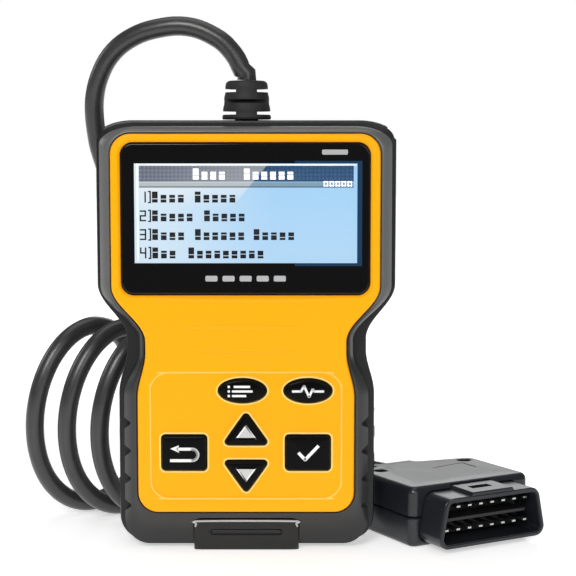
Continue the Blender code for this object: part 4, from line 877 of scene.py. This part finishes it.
def makePanel():
    f = panelFacts
    front, back = panelBox[0].y, panelBox[1].y
    panel = roundedSlab("frontPanel", lambda grow: panelOutline(-grow), front, back, f["edge"], 5)
    carve(panel, [leaf(f"ridge{i}", (0.0, z), (half, high), deep, front)
                  for i, (z, half, high, deep) in enumerate(f["ridges"])], "UNION")
    x, low, high = f["pad"]
    sides = []
    for grow, y in ((f["slope"] / 2 + 0.002, front - 0.002 * f["sink"] / f["slope"]),
                    (-f["slope"] / 2, front + f["sink"])):
        sides.append(atDepth(rectangle((-x, low), (x, high), f["padCorner"], grow, 12), y))
    cuts = [loft("padSink", sides)]
    z, half, high, deep = f["groove"]
    cuts.append(leaf("groove", (0.0, z), (half, high), deep, front))
    cham = f["lensChamfer"]
    cuts.append(loft("lensCut", [
        atDepth(lensOutline(f["lensGap"] + cham * 2), front - cham),
        atDepth(lensOutline(f["lensGap"]), front + cham),
        atDepth(lensOutline(f["lensGap"]), back + passBy)]))
    for name, (outline, _) in keyShapes().items():
        cuts.append(slab(name + "Hole", outline(touchGap), front - passBy, back + passBy))
    carve(panel, cuts)
    finished(panel, "reader", "yellow_plastic", ["front_panel"], angle=40.0)
    # a thin bead round the sunk keypad, a little lighter than the panel: painted highlight along its edge
    x, low, high = f["pad"]
    bead = [Vector((px, front + f["beadSink"], pz))
            for px, pz in rectangle((-x, low), (x, high), f["padCorner"], 0.0002, 10)]
    finished(stroke("padHighlightBead", bead + bead[:1], f["bead"]), "reader", "yellow_plastic", material=beadHighlightYellow)
    floor = front + f["sink"]
    # a low moulded rim round each key hole; its paler yellow is painted highlight
    for name, (outline, _) in keyShapes().items():
        rings = [atDepth(outline(touchGap), floor + 0.0002)]
        for i in range(7):
            a = math.radians(180 * i / 6)
            grow = touchGap + f["rim"] * (0.5 - 0.5 * math.cos(a))
            rings.append(atDepth(outline(grow), floor - f["rimHigh"] * math.sin(a)))
        rings.append(atDepth(outline(touchGap + f["rim"]), floor + 0.0002))
        rings.append(rings[0])
        rim = loft(name.replace("key", "rim"), rings, False)
        bm = bmesh.new()
        bm.from_mesh(rim.data)
        bmesh.ops.remove_doubles(bm, verts=bm.verts, dist=0.000001)
        bm.to_mesh(rim.data)
        bm.free()
        finished(rim, "reader", "yellow_plastic", material=rimHighlightYellow, angle=60.0)


makeBackShell()
makeFrontShell()
makePanel()
print("shells ready")


# side grips, port cover, strain relief and label

gripFacts = {"low": 0.0082, "high": 0.0412, "bulge": 0.0003, "dip": 0.0009, "edge": 0.0006}


def gripOutline(side, inset=0.0):
    f = gripFacts
    inner = bodyShape["halfLow"] - 0.0013 + touchGap
    outer = bodyShape["halfLow"] + f["bulge"]
    notches = frontShell["notches"]
    pitch = notches[1] - notches[0]
    right = [(inner, f["low"] + inset)]
    for i in range(57):
        z = f["low"] + inset + (f["high"] - f["low"] - 2 * inset) * i / 56
        nearest = min(abs(z - n) for n in notches)
        dip = f["dip"] * max(0.0, 1 - nearest / (pitch * 0.36)) ** 1.5
        end = f["dip"] * max(0.0, 1 - min(z - f["low"], f["high"] - z) / 0.002)
        right.append((outer - inset - max(dip, end), z))
    right.append((inner, f["high"] - inset))
    return [(side * x, z) for x, z in right]


def makeGrips():
    for side, name in ((-1, "grip_left"), (1, "grip_right")):
        low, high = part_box(name)
        edge = gripFacts["edge"]
        rings = []
        for inward, along in quarter(3):
            rings.append(atDepth(gripOutline(side, edge * along), low.y + edge * inward))
        for inward, along in quarter(3):
            rings.append(atDepth(gripOutline(side, edge * inward), high.y - edge * along))
        finished(loft(name + "Pad", rings), "reader", "rubber", [name])


coverFacts = {"corner": 0.0020, "edge": 0.0006, "slot": (0.0104, 0.0043, 0.0062), "slotDeep": 0.0006,
              "lip": (0.0146, 0.0003)}


def makeCover():
    f = coverFacts
    low, high = coverBox
    plateBack = low.y + 0.0015

    def plate(grow):
        return rectangle((low.x, low.z), (high.x, high.z), f["corner"], grow, 10)
    cover = roundedSlab("portCover", plate, low.y, plateBack, f["edge"], 5)
    foot = rectangle((low.x, low.y + f["edge"]), (high.x, high.y), 0.0012, 0.0, 6)
    base = loft("coverFoot", [atHeight(foot, low.z), atHeight(foot, bodyShape["bottom"] - touchGap)])
    carve(cover, [base], "UNION")
    x, bottom, top = f["slot"]
    slot = slab("coverSlot", rectangle((-x, bottom), (x, top), 0.0009), low.y - passBy, low.y + f["slotDeep"])
    carve(cover, [slot])
    finished(cover, "reader", "dark_plastic", ["port_cover"])
    insert = roundedSlab("coverPull", lambda grow: rectangle((-x, bottom), (x, top), 0.0009, grow - 0.0003),
                         low.y + 0.00015, low.y + f["slotDeep"], 0.0003)
    finished(insert, "reader", "dark_plastic")
    # a thin silver grey line along the cover's top edge: painted highlight
    half, thick = f["lip"]
    ridge = high.z - 0.0006
    points = [(-half, ridge - 0.0016), (-half + 0.0004, ridge - 0.0007), (-half + 0.0016, ridge),
              (half - 0.0016, ridge), (half - 0.0004, ridge - 0.0007), (half, ridge - 0.0016)]
    line = stroke("coverLipHighlight", [Vector((x, low.y + 0.00005, z)) for x, z in points], thick)
    finished(line, "reader", "dark_plastic", material=silverPrintAndHighlight)


reliefFacts = {"tip": 0.0057, "base": 0.00685, "neck": 0.0034, "collar": 0.0042, "web": 0.0029,
               "slot": 0.0010, "slots": ((0.12, 0), (0.42, 1), (0.70, 0)), "bulge": 0.00025}


def makeRelief():
    f = reliefFacts
    top = reliefBox[1].z
    base = bodyShape["top"] + touchGap
    inner = bodyShape["top"] - backShell["wall"] - touchGap
    tall = top - base
    middle = (reliefBox[0].y + reliefBox[1].y) / 2
    profile = [(f["tip"] - 0.0006, top), (f["tip"] - 0.0002, top - 0.0002), (f["tip"], top - 0.0006)]
    cuts = sorted((share for share, _ in f["slots"]), reverse=True) + [0.0]
    above = 1.0
    for share in cuts:
        for k in range(1, 7):
            here = above + (share - above) * k / 7
            swell = f["bulge"] * math.sin(math.pi * k / 7)
            profile.append((f["tip"] + (f["base"] - f["tip"]) * (1 - here) + swell, base + tall * here))
        above = share
    profile += [(f["base"], base), (f["neck"], base), (f["neck"], inner), (f["collar"], inner),
                (f["collar"], inner - 0.0020)]
    relief = turned("cordRelief", profile, (0.0, middle, 0.0), 72)
    far = f["base"] + passBy
    tools = []
    for share, along in f["slots"]:
        z = base + tall * share
        for side in (-1, 1):
            low, high = [-far, middle - far], [far, middle + far]
            if side < 0:
                high[along] = (0.0, middle)[along] - f["web"]
            else:
                low[along] = (0.0, middle)[along] + f["web"]
            shape = rectangle(low, high, 0.0005, 0.0, 4)
            tools.append(loft("slot", [atHeight(shape, z), atHeight(shape, z + f["slot"])]))
    carve(relief, tools)
    finished(relief, "reader", "rubber", ["strain_relief"])


def makeLabel():
    low, high = labelBox
    plate = roundedSlab("ratingLabel", lambda grow: [(-x, z) for x, z in rectangle(
        (low.x, low.z), (high.x, high.z), 0.002, grow)], low.y, high.y, 0.0)
    finished(plate, "reader", "label_film", ["back_label"])
    bars = []
    left, top = low.x + 0.004, high.z - 0.006
    for row, widths in enumerate(((0.020,), (0.030, 0.006), (0.024, 0.010), (0.032,), (0.014, 0.012))):
        x = left
        for width in widths:
            z = top - row * 0.0052
            shape = rectangle((-x - width, z), (-x, z + 0.0016), 0.0004, 0.0, 3)
            bars.append(slab("bar", shape, high.y - 0.00002, high.y + 0.00004))
            x += width + 0.002
    finished(joined("labelBars", bars), "reader", "label_film", material=skins["black_plastic"])


makeGrips()
makeCover()
makeRelief()
makeLabel()
print("trim ready")


# lens over the screen

lensFacts = {
    "clear": ((-0.0312, 0.0822), (0.0313, 0.1101)), "edge": 0.0005, "edgeShadeWidth": 0.0012,
    "dashes": tuple((x - 0.0017, x + 0.0017) for x in (-0.0096, -0.0048, 0.0, 0.0048, 0.0096)),
    "dashRow": (0.0771, 0.0787), "badge": ((0.0214, 0.1126), (0.0286, 0.1140)),
}


def lensSkin():
    # black gloss with a clear window; the dark blue band at its right and top is painted shadow and
    # refraction of the recessed screen's edge
    f = lensFacts
    finish = Finish("lensBlack", (0.003, 0.003, 0.0035), 0.07, Specular_IOR_Level=0.30)
    x, _, z = finish.axes()
    low, high = f["clear"]
    clear = x.within(low[0], high[0], 0.0001) * z.within(low[1], high[1], 0.0001)
    # painted shadow and refraction: dark blue just beyond the window's right and top edges
    paintedEdgeShade = x.within(0.0140, high[0] + f["edgeShadeWidth"], 0.0003)
    paintedEdgeShade = paintedEdgeShade * z.within(low[1] - 0.0006, high[1] + f["edgeShadeWidth"] * 0.5, 0.0003)
    smear = finish.noise(55.0, 4.0)
    finish.feed("Base Color", finish.mix(paintedEdgeShade, (0.003, 0.003, 0.0035), (0.012, 0.040, 0.090)))
    finish.feed("Roughness", 0.05 + smear * 0.06)
    finish.feed("Alpha", 1 - clear * 0.97)
    return finish.material


def printed(name, shapes, face, body, material, slot, thick=0.00005):
    # flat marks on a face that looks forward
    slabs = [slab("mark", shape, face - thick, face + thick) for shape in shapes]
    return finished(joined(name, slabs), body, slot, material=material, angle=60.0)


def bar(x0, x1, z0, z1):
    return [(x0, z0), (x1, z0), (x1, z1), (x0, z1)]


def ring(name, outer, inner, face, body, material, slot, thick=0.00005):
    # a flat closed band between two outlines of equally many points
    rings = [atDepth(outer, face + thick), atDepth(outer, face - thick),
             atDepth(inner, face - thick), atDepth(inner, face + thick)]
    made = loft(name, rings + [rings[0]], False)
    bm = bmesh.new()
    bm.from_mesh(made.data)
    bmesh.ops.remove_doubles(bm, verts=bm.verts, dist=0.0000001)
    bmesh.ops.recalc_face_normals(bm, faces=bm.faces)
    bm.to_mesh(made.data)
    bm.free()
    return finished(made, body, slot, material=material, angle=60.0)


def makeLens():
    f = lensFacts
    front, back = windowBox[0].y, windowBox[1].y
    skins["lens_black"] = lensSkin()
    lens = roundedSlab("displayLens", lensOutline, front, back, f["edge"], 4)
    finished(lens, "reader", "lens_black", ["display_window"], angle=50.0)
    low, high = f["dashRow"]
    shapes = [rectangle((x0, low), (x1, high), 0.0004, 0.0, 4) for x0, x1 in f["dashes"]]
    printed("lensDashes", shapes, front, "reader", silverPrintAndHighlight, "lens_black")
    low, high = f["badge"]
    printed("lensBadge", [rectangle(low, high, 0.0003, 0.0, 4)], front, "reader", silverPrintAndHighlight, "lens_black")


# picture on the screen

screenFacts = {
    "left": -0.0308, "right": 0.0312, "low": 0.0823, "high": 0.1099,
    "head": (0.1050, 0.1095), "strip": (0.1037, 0.1048), "line": 0.1033,
    "glare": (0.0063, 0.834, 0.110),
    "rows": (0.0991, 0.0938, 0.0885, 0.0833), "tall": 0.0031,
    "title": ((-0.0149, 4), (-0.0005, 6)),
    "words": (((-0.0265, 4), (-0.0144, 5)), ((-0.0265, 5), (-0.0118, 5)),
              ((-0.0265, 4), (-0.0144, 6), (0.0022, 5)), ((-0.0265, 3), (-0.0163, 9))),
    "letter": 0.00245, "count": (0.0220, 0.0304, 0.1037, 0.1051),
}
segments = {  # lit bars of a counting digit: top, upper left and right, middle, lower left and right, foot
    1: (0, 0, 1, 0, 0, 1, 0), 2: (1, 0, 1, 1, 1, 0, 1), 3: (1, 0, 1, 1, 0, 1, 1), 4: (0, 1, 1, 1, 0, 1, 0),
}


def screenSkin():
    # the back-lit picture, paler on the left and towards the bottom, a hatched heading, and a painted glare
    # that slants over the upper left
    f = screenFacts
    finish = Finish("lcdBlue", (0.01, 0.012, 0.015), 0.45, Specular_IOR_Level=0.2, Emission_Strength=1.0)
    x, _, z = finish.axes()
    across = x.rise(-0.034, 0.012)
    lower = 1 - z.rise(0.080, 0.112)
    picture = finish.mix(across, (0.73, 0.865, 0.965), (0.385, 0.675, 0.965))
    picture = finish.mix(lower * 0.35, picture, (0.62, 0.80, 0.965))
    # painted glare: a paler slanting patch over the upper left, which also lightens the heading and its strip
    x0, slope, top = f["glare"]
    beyond = x - (z - top) * slope
    paintedGlare = 1 - beyond.rise(x0 - 0.0001, x0 + 0.0001)
    picture = finish.mix(paintedGlare * (z.rise(0.096, 0.103)) * 0.45, picture, (0.90, 0.93, 0.95))
    dots = finish.node("ShaderNodeTexBrick", {"offset": 0.0}, {
        "Vector": finish.place(), "Scale": 1.0, "Brick Width": 0.00056, "Row Height": 0.00056,
        "Mortar Size": 0.00012, "Color1": (0, 0, 0, 1), "Color2": (0, 0, 0, 1), "Mortar": (1, 1, 1, 1)})
    weave = x.maths("PINGPONG", x * 1785.0, 1.0) * z.maths("PINGPONG", z * 1785.0, 1.0)
    heading = finish.mix(paintedGlare, (0.020, 0.070, 0.170), (0.135, 0.150, 0.200))
    heading = finish.mix(weave * 0.45, heading, finish.mix(paintedGlare, (0.10, 0.22, 0.38), (0.42, 0.46, 0.55)))
    fade = 1 - x.rise(-0.030, 0.006)
    heading = finish.mix(paintedGlare * (1 - fade) * 0.35, heading, (0.62, 0.64, 0.68))
    low, high = f["head"]
    picture = finish.mix(z.within(low, high, 0.00005) * x.within(-0.0301, 0.0304, 0.00005), picture, heading)
    low, high = f["strip"]
    inStrip = z.within(low, high, 0.00005) * x.within(-0.0301, 0.0304, 0.00005)
    picture = finish.mix(inStrip, picture, finish.mix(paintedGlare, (0.22, 0.36, 0.46), (0.50, 0.55, 0.56)))
    under = z.within(f["line"], f["strip"][0], 0.00004) * x.within(-0.0301, 0.0304, 0.00005)
    picture = finish.mix(under * 0.75, picture, (0.05, 0.06, 0.09))
    finish.feed("Emission Color", picture)
    finish.feed("Roughness", 0.42 + dots * 0.06)
    return finish.material


def digitShapes(digit, x, z):
    # bars of one digit, 1.8 mm wide
    wide, tall, thick = 0.0018, screenFacts["tall"], 0.00042
    half = tall / 2
    bars = [bar(x, x + wide, z + tall - thick, z + tall), bar(x, x + thick, z + half, z + tall),
            bar(x + wide - thick, x + wide, z + half, z + tall),
            bar(x, x + wide, z + half - thick / 2, z + half + thick / 2),
            bar(x, x + thick, z, z + half), bar(x + wide - thick, x + wide, z, z + half),
            bar(x, x + wide, z, z + thick)]
    shapes = [b for b, lit in zip(bars, segments[digit]) if lit]
    edge = x + wide + 0.0010
    return shapes + [bar(edge, edge + thick, z - 0.0002, z + tall + 0.0002),
                     bar(edge - thick, edge, z + tall - 0.0002, z + tall + 0.0002),
                     bar(edge - thick, edge, z - 0.0002, z + 0.0002)]


def wordShapes(x, z, letters, seed, tall=None):
    # a word's worth of plain blocks, each with one cross gap, so that nothing is spelt
    tall = tall or screenFacts["tall"]
    pitch = screenFacts["letter"]
    shapes = []
    for i in range(letters):
        left, right = x + i * pitch, x + i * pitch + pitch * 0.66
        high = tall * (1.0 if i == 0 else 0.70)
        cut = z + high * (0.34 + 0.11 * ((i * 5 + seed * 3) % 4))
        shapes += [bar(left, right, z, cut - 0.00010), bar(left, right, cut + 0.00010, z + high)]
    return shapes


def makeScreen():
    f = screenFacts
    front = glassBox[0].y
    skins["lcd_blue"] = screenSkin()
    glass = roundedSlab("lcdPicture", lambda grow: rectangle(
        (glassBox[0].x, glassBox[0].z), (glassBox[1].x, glassBox[1].z), 0.0008, grow, 4),
        front, glassBox[1].y, 0.0002)
    finished(glass, "reader", "lcd_blue", ["lcd_glass"])
    ink = Finish("screenInk", (0.012, 0.013, 0.016), 0.5, Specular_IOR_Level=0.1)
    ink.feed("Base Color", ink.mix(ink.noise(300.0), (0.010, 0.011, 0.014), (0.030, 0.032, 0.038)))
    pale = Finish("screenWhite", (0.9, 0.9, 0.9), 0.5, Emission_Strength=0.8)
    pale.feed("Emission Color", pale.mix(pale.noise(300.0), (0.86, 0.90, 0.94), (0.98, 0.99, 1.0)))
    dark, light = [], []
    for row, z in enumerate(f["rows"]):
        dark += digitShapes(row + 1, -0.0300, z)
        for x, letters in f["words"][row]:
            dark += wordShapes(x, z, letters, row + letters)
    for x, letters in f["title"]:
        light += wordShapes(x, 0.1056, letters, letters)
    x0, x1, z0, z1 = f["count"]
    for i in range(5):
        left = x0 + (x1 - x0) * i / 5
        light += [bar(left, left + 0.0012, z0, z0 + 0.0003), bar(left, left + 0.0012, z1 - 0.0003, z1),
                  bar(left, left + 0.0003, z0, z1), bar(left + 0.0009, left + 0.0012, z0, z1)]
    light += [bar(f["left"], f["right"], f["high"] - 0.0004, f["high"]),
              bar(f["left"], f["left"] + 0.0004, f["low"], f["high"])]
    printed("screenWords", dark, front, "reader", ink.material, "lcd_blue")
    printed("screenTitle", light, front - 0.00003, "reader", pale.material, "lcd_blue")


# keys

def keyIcon(name, middle):
    # white shapes for one key: returns (shapes, rings) in the key's own plane
    x, z = middle
    if name == "key_oval_left":
        rows = []
        for i, (wide, shift) in enumerate(((0.0046, -0.0001), (0.0058, 0.0), (0.0040, -0.0009))):
            high = z + 0.0013 - i * 0.00130
            rows.append(bar(x + shift - wide / 2, x + shift + wide / 2, high - 0.00032, high + 0.00032))
            rows.append(circle((x - 0.0038, high), 0.00038, 12))
        return rows
    if name == "key_oval_right":
        spots = [(-0.0044, 0.0), (-0.0020, 0.0), (-0.0011, 0.0015), (0.0003, -0.0016), (0.0013, 0.0006),
                 (0.0018, 0.0), (0.0044, 0.0)]
        return ribbon([(x + a, z + b) for a, b in spots], 0.00032)
    if name == "key_enter":
        return ribbon([(x - 0.0026, z + 0.0001), (x - 0.0008, z - 0.0018), (x + 0.0029, z + 0.0021)], 0.00045)
    if name == "key_back":
        top, foot, right = z + 0.00125, z - 0.00205, x + 0.0023
        half = (top - foot) / 2
        curve = [(right + half * math.sin(a), (top + foot) / 2 + half * math.cos(a))
                 for a in (math.pi * i / 10 for i in range(11))]
        head = [(x - 0.0039, top + 0.0001), (x - 0.0014, top - 0.0010), (x - 0.0017, top + 0.0001),
                (x - 0.0014, top + 0.0011)]
        return ribbon([(x - 0.0019, top)] + curve + [(x - 0.0038, foot)], 0.00042) + [head]
    return []


def ribbon(points, half):
    # a band of even width along the points, as one shape for each stretch
    shapes = []
    for (x0, z0), (x1, z1) in zip(points, points[1:]):
        run = Vector((x1 - x0, z1 - z0)).normalized()
        side, on = Vector((-run.y, run.x)) * half, run * half * 0.35
        a, b = Vector((x0, z0)) - on, Vector((x1, z1)) + on
        shapes.append([tuple(a - side), tuple(b - side), tuple(b + side), tuple(a + side)])
    return shapes


def makeKeys():
    f = keyFacts
    for name, (outline, middle) in keyShapes().items():
        low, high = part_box(name)
        face = low.y
        flangeFront = high.y - f["flange"]
        rings = [atDepth(outline(0.0008), high.y), atDepth(outline(0.0008), flangeFront),
                 atDepth(outline(0.0), flangeFront)]
        for inward, along in quarter(6):
            rings.append(atDepth(outline(-f["edge"] * inward), face + f["dome"] + f["edge"] * along))
        for share in (0.2, 0.45, 0.7, 0.9):
            edgeRing = outline(-f["edge"])
            rings.append([(middle[0] + (x - middle[0]) * (1 - share), face + f["dome"] * (1 - share) ** 2,
                           middle[1] + (z - middle[1]) * (1 - share)) for x, z in edgeRing])
        finished(loft(name + "Cap", rings), name, "key_gloss", [name], angle=40.0)
        top = face + 0.00002
        if name in ("key_up", "key_down"):
            direction = 1 if name == "key_up" else -1
            base = f["row"] + direction * 0.0041
            apex = base + direction * 0.0041
            half = 0.00305 * direction
            corners = [(-half, base), (half, base), (0.0, apex)]
            ring(name + "Line", rounded(corners, 0.0001, 0.0, 2), rounded(corners, 0.0001, -0.0004, 2),
                 top, name, keyMark, "key_gloss")
            printed(name + "Fill", [rounded(corners, 0.0001, -0.0004, 2)], top, name, keyMarkGrey,
                    "key_gloss")
        else:
            printed(name + "Icon", keyIcon(name, middle), top, name, keyMark, "key_gloss")


makeLens()
makeScreen()
makeKeys()
print("screen and keys ready")


# plug, built along its own X and Y and turned into place at the end

shellFacts = {
    "out": 0.0103, "in": 0.0062, "halfLow": 0.0192, "halfHigh": 0.0163, "low": 0.0013, "high": 0.0158,
    "wall": 0.0013, "corner": 0.0030, "step": (0.0070, 0.0010), "window": (-0.0040, 0.0030, 0.0030, 0.0060),
}
pinFacts = {"pitch": 0.0040, "rows": (0.0058, 0.0124), "size": (0.0015, 0.0008), "reach": 0.0072,
            "rib": (0.0140, 0.0089, 0.0008), "carrier": 0.0052, "tip": 0.0007}
bootFacts = {"base": 0.0052, "tip": 0.0040, "rings": 5, "groove": 0.0008, "neck": 0.0036, "collar": 0.0040}


def turnedIn(obj):
    # from the plug's own axes to where it lies
    side, back = plugAcross, plugBack
    obj.data.transform(Matrix(((side.x, back.x, 0, plugOrigin.x), (side.y, back.y, 0, plugOrigin.y),
                               (0, 0, 1, 0), (0, 0, 0, 1))))
    return obj


def plugOutline(inset=0.0):
    f = plugShape
    half, neck, corner = f["half"] - inset, f["neck"] - inset, max(f["corner"] - inset, 0.0006)
    right = arc((half - corner, corner + inset), (corner, corner), -90, 0, 6)
    right += easeRun((half, f["shoulder"] - inset * 0.4),
                     (neck, f["length"] - f["neckLength"] - inset * 0.4), 14)
    rear = max(0.0015 - inset, 0.0004)
    right += arc((neck - rear, f["length"] - inset - rear), (rear, rear), 0, 90, 4)
    return mirrored(right)


def slope(y):
    # how far the plug's top has fallen this far back
    f = plugShape
    share = min(1.0, max(0.0, (y - f["slopeStart"]) / (f["length"] - f["slopeStart"])))
    return f["rearDrop"] * (3 * share ** 2 - 2 * share ** 3)


def plugUpper():
    f = plugShape
    split = f["split"] + touchGap / 2
    rings = [atHeight(plugOutline(f["chamfer"]), split), atHeight(plugOutline(), split + f["chamfer"])]
    for inward, along in quarter(6):
        rings.append([(x, y, f["height"] - slope(y) - f["edge"] * along)
                      for x, y in plugOutline(f["edge"] * inward)])
    for inset in f["crown"]:
        rings.append([(x, y, f["height"] - slope(y)) for x, y in plugOutline(inset)])
    upper = loft("plugTop", rings)
    grooves = []
    for i, outline in enumerate(f["grooves"]):
        grooves.append(loft(f"groove{i}", [atHeight(rounded(outline, 0.0002, 0.0, 3), h)
                                           for h in (f["height"] - f["grooveDeep"], f["height"] + passBy)]))
    carve(upper, grooves + [cavity(f["split"] - passBy, f["ceiling"])])
    carve(upper, [column(f["boss"], side, split, f["ceiling"] + passBy) for side in (-1, 1)], "UNION")
    carve(upper, plugPorts())
    seat = f["ceiling"] - f["seat"]
    bore = [(f["bore"] + 0.0004, f["height"] + passBy), (f["bore"] + 0.0004, f["height"]),
            (f["bore"], f["height"] - 0.0005), (f["bore"], seat), (f["shaft"], seat),
            (f["shaft"], f["split"])]
    carve(upper, [turned("screwBore", bore, (side * f["screwX"], f["screwY"], 0.0), 24) for side in (-1, 1)])
    finished(turnedIn(upper), "reader", "plug_plastic", ["plug_body_upper"], angle=40.0)


def column(radius, side, low, high):
    disc = circle((side * plugShape["screwX"], plugShape["screwY"]), radius, 28)
    return loft("column", [atHeight(disc, low), atHeight(disc, high)])


def cavity(low, high):
    f = plugShape
    inner = plugOutline(f["wall"])
    return loft("cavity", [atHeight(inner, low), atHeight(inner, high)])


def plugPorts():
    # the way through the front wall for the nose, and through the rear one for the boot's neck
    f = plugShape
    front = slab("nosePort", shellOutline(touchGap), -passBy, f["wall"] + passBy)
    radius = bootFacts["neck"] + touchGap
    rear = turned("neckPort", [(radius, f["length"] + passBy), (radius, f["length"] - f["wall"] - passBy)],
                  (0.0, 0.0, f["height"] / 2), 40, True)
    return [front, rear]


def plugLower():
    f = plugShape
    split = f["split"] - touchGap / 2
    rings = []
    edge = f["edge"] * f["footShare"]
    for inward, along in quarter(5):
        rings.append(atHeight(plugOutline(edge * along), edge * inward))
    rings += [atHeight(plugOutline(), split - f["chamfer"]), atHeight(plugOutline(f["chamfer"]), split)]
    lower = loft("plugBase", rings)
    carve(lower, [cavity(f["wall"], f["split"] + passBy)])
    carve(lower, [column(f["stub"], side, f["wall"] / 2, split) for side in (-1, 1)], "UNION")
    carve(lower, plugPorts())
    carve(lower, [column(f["shaft"], side, 0.0028, split + passBy) for side in (-1, 1)])
    finished(turnedIn(lower), "reader", "plug_plastic", ["plug_body_lower"], angle=40.0)


def shellOutline(grow=0.0, step=True):
    # the nose: narrower at its top, whose middle is raised a little
    f = shellFacts
    half, rise = f["step"]
    top = f["high"]
    corners = [(-f["halfLow"], f["low"]), (f["halfLow"], f["low"]), (f["halfHigh"], top),
               (-f["halfHigh"], top)]
    points = rounded(corners, f["corner"], grow, 8)
    if not step:
        return points
    flat = [(half + 0.0008, top + grow), (half, top + grow + rise), (-half, top + grow + rise),
            (-half - 0.0008, top + grow)]
    before = len(points) * 3 // 4  # the three corners that come before the top's middle
    return points[:before] + flat + points[before:]


def plugNose():
    f = shellFacts
    outer = shellOutline()
    rings = [atDepth(outer, f["in"]), atDepth(outer, -f["out"] + 0.0003),
             atDepth(shellOutline(-0.0003), -f["out"])]
    nose = loft("plugNose", rings)
    hollow = slab("noseHollow", shellOutline(-f["wall"], False), -f["out"] - passBy, pinFacts["carrier"])
    x0, x1, y0, y1 = f["window"]
    window = loft("noseWindow", [atHeight(bar(x0, x1, -y1, -y0), h)
                                 for h in (f["high"] - 0.0004, f["high"] + 0.004)])
    carve(nose, [hollow, window])
    finished(turnedIn(nose), "reader", "plug_plastic", ["plug_shell"], angle=35.0)
    rim = []
    for grow, y in ((0.00002, -f["out"] + 0.0001), (-0.0002, -f["out"] - 0.00035),
                    (-f["wall"] + 0.0003, -f["out"] - 0.00035),
                    (-f["wall"] + 0.0001, -f["out"] + 0.0001)):
        rim.append(atDepth(shellOutline(grow, False), y))
    lip = loft("noseRim", rim + [rim[0]], False)
    finished(turnedIn(lip), "reader", "plug_plastic", angle=35.0)


def plugPins():
    f = pinFacts
    carrier = slab("pinCarrier", shellOutline(-shellFacts["wall"] - touchGap, False), 0.0,
                   f["carrier"] - touchGap)
    half, z, thick = f["rib"]
    ridge = slab("pinRib", rectangle((-half, z - thick / 2), (half, z + thick / 2), 0.0003, 0.0, 3),
                 -f["reach"], 0.001)
    carve(carrier, [ridge], "UNION")
    finished(turnedIn(carrier), "reader", "black_plastic", ["pin_block"])
    bodies, tips = [], []
    wide, tall = f["size"]
    for row in f["rows"]:
        for i in range(8):
            x = (i - 3.5) * f["pitch"]
            shape = rectangle((x - wide / 2, row - tall / 2), (x + wide / 2, row + tall / 2), 0.0002, 0.0, 3)
            small = rectangle((x - wide / 2, row - tall / 2), (x + wide / 2, row + tall / 2),
                              0.0002, -0.00015, 3)
            bodies.append(loft("blade", [atDepth(shape, 0.0005), atDepth(shape, -f["reach"] + f["tip"])]))
            tips.append(loft("tip", [atDepth(shape, -f["reach"] + f["tip"]),
                                     atDepth(shape, -f["reach"] + 0.0003),
                                     atDepth(small, -f["reach"])]))
    finished(turnedIn(joined("pinBlades", bodies)), "reader", "black_plastic", material=skins["plug_plastic"])
    finished(turnedIn(joined("pinTips", tips)), "reader", "bright_metal")


def plugBoot():
    f = bootFacts
    end = plugShape["length"] + plugShape["boot"]
    start = plugShape["length"] + touchGap
    inner = plugShape["length"] - plugShape["wall"] - touchGap
    profile = [(0.0030, end), (f["tip"] - 0.0005, end), (f["tip"], end - 0.0005)]
    pitch = (end - 0.0012 - start - 0.0015) / f["rings"]
    for i in range(f["rings"]):
        share = (i + 0.5) / f["rings"]
        radius = f["tip"] + (f["base"] - f["tip"]) * share
        y = end - 0.0012 - pitch * i
        profile += [(radius, y), (radius - f["groove"], y - pitch * 0.12),
                    (radius - f["groove"], y - pitch * 0.36),
                    (radius, y - pitch * 0.48), (radius + 0.0001, y - pitch * 0.72)]
    profile += [(f["base"], start + 0.0012), (f["base"], start), (f["neck"], start), (f["neck"], inner),
                (f["collar"], inner), (f["collar"], inner - 0.0018)]
    boot = turned("plugBoot", profile, (0.0, 0.0, plugShape["height"] / 2), 40, True)
    finished(turnedIn(boot), "reader", "rubber", ["plug_boot"], angle=35.0)


plugUpper()
plugLower()
plugNose()
plugPins()
plugBoot()
print("plug ready")


# pieces that stay as the frame has them, and the ending

carried = {
    "black_plastic": ("processor_chip", "interface_chip", "regulator", "buzzer"),
    "white_plastic": ("backlight_panel", "cable_header", "cable_connector"),
    "flex_film": ("lcd_ribbon",),
    "board_green": ("main_board",),
    "bright_metal": ("lcd_frame", "crystal", "capacitor", "usb_socket"),
    "cord_jacket": ("inner_leads",),
    "screw_metal": ("housing_screw_1", "housing_screw_2", "housing_screw_3", "housing_screw_4",
                    "board_screw_1", "board_screw_2", "plug_screw_1", "plug_screw_2"),
}
keys = ("up", "down", "back", "enter", "oval_left", "oval_right")
carried["white_plastic"] += tuple(f"plunger_{key}" for key in keys)
carried["black_plastic"] += tuple(f"switch_{key}" for key in keys)


def dressCarried():
    for slot, nodes in carried.items():
        for node in nodes:
            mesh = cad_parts[node].data
            mesh.materials.clear()
            mesh.materials.append(skins[slot])


dressCarried()
print("pieces finished")
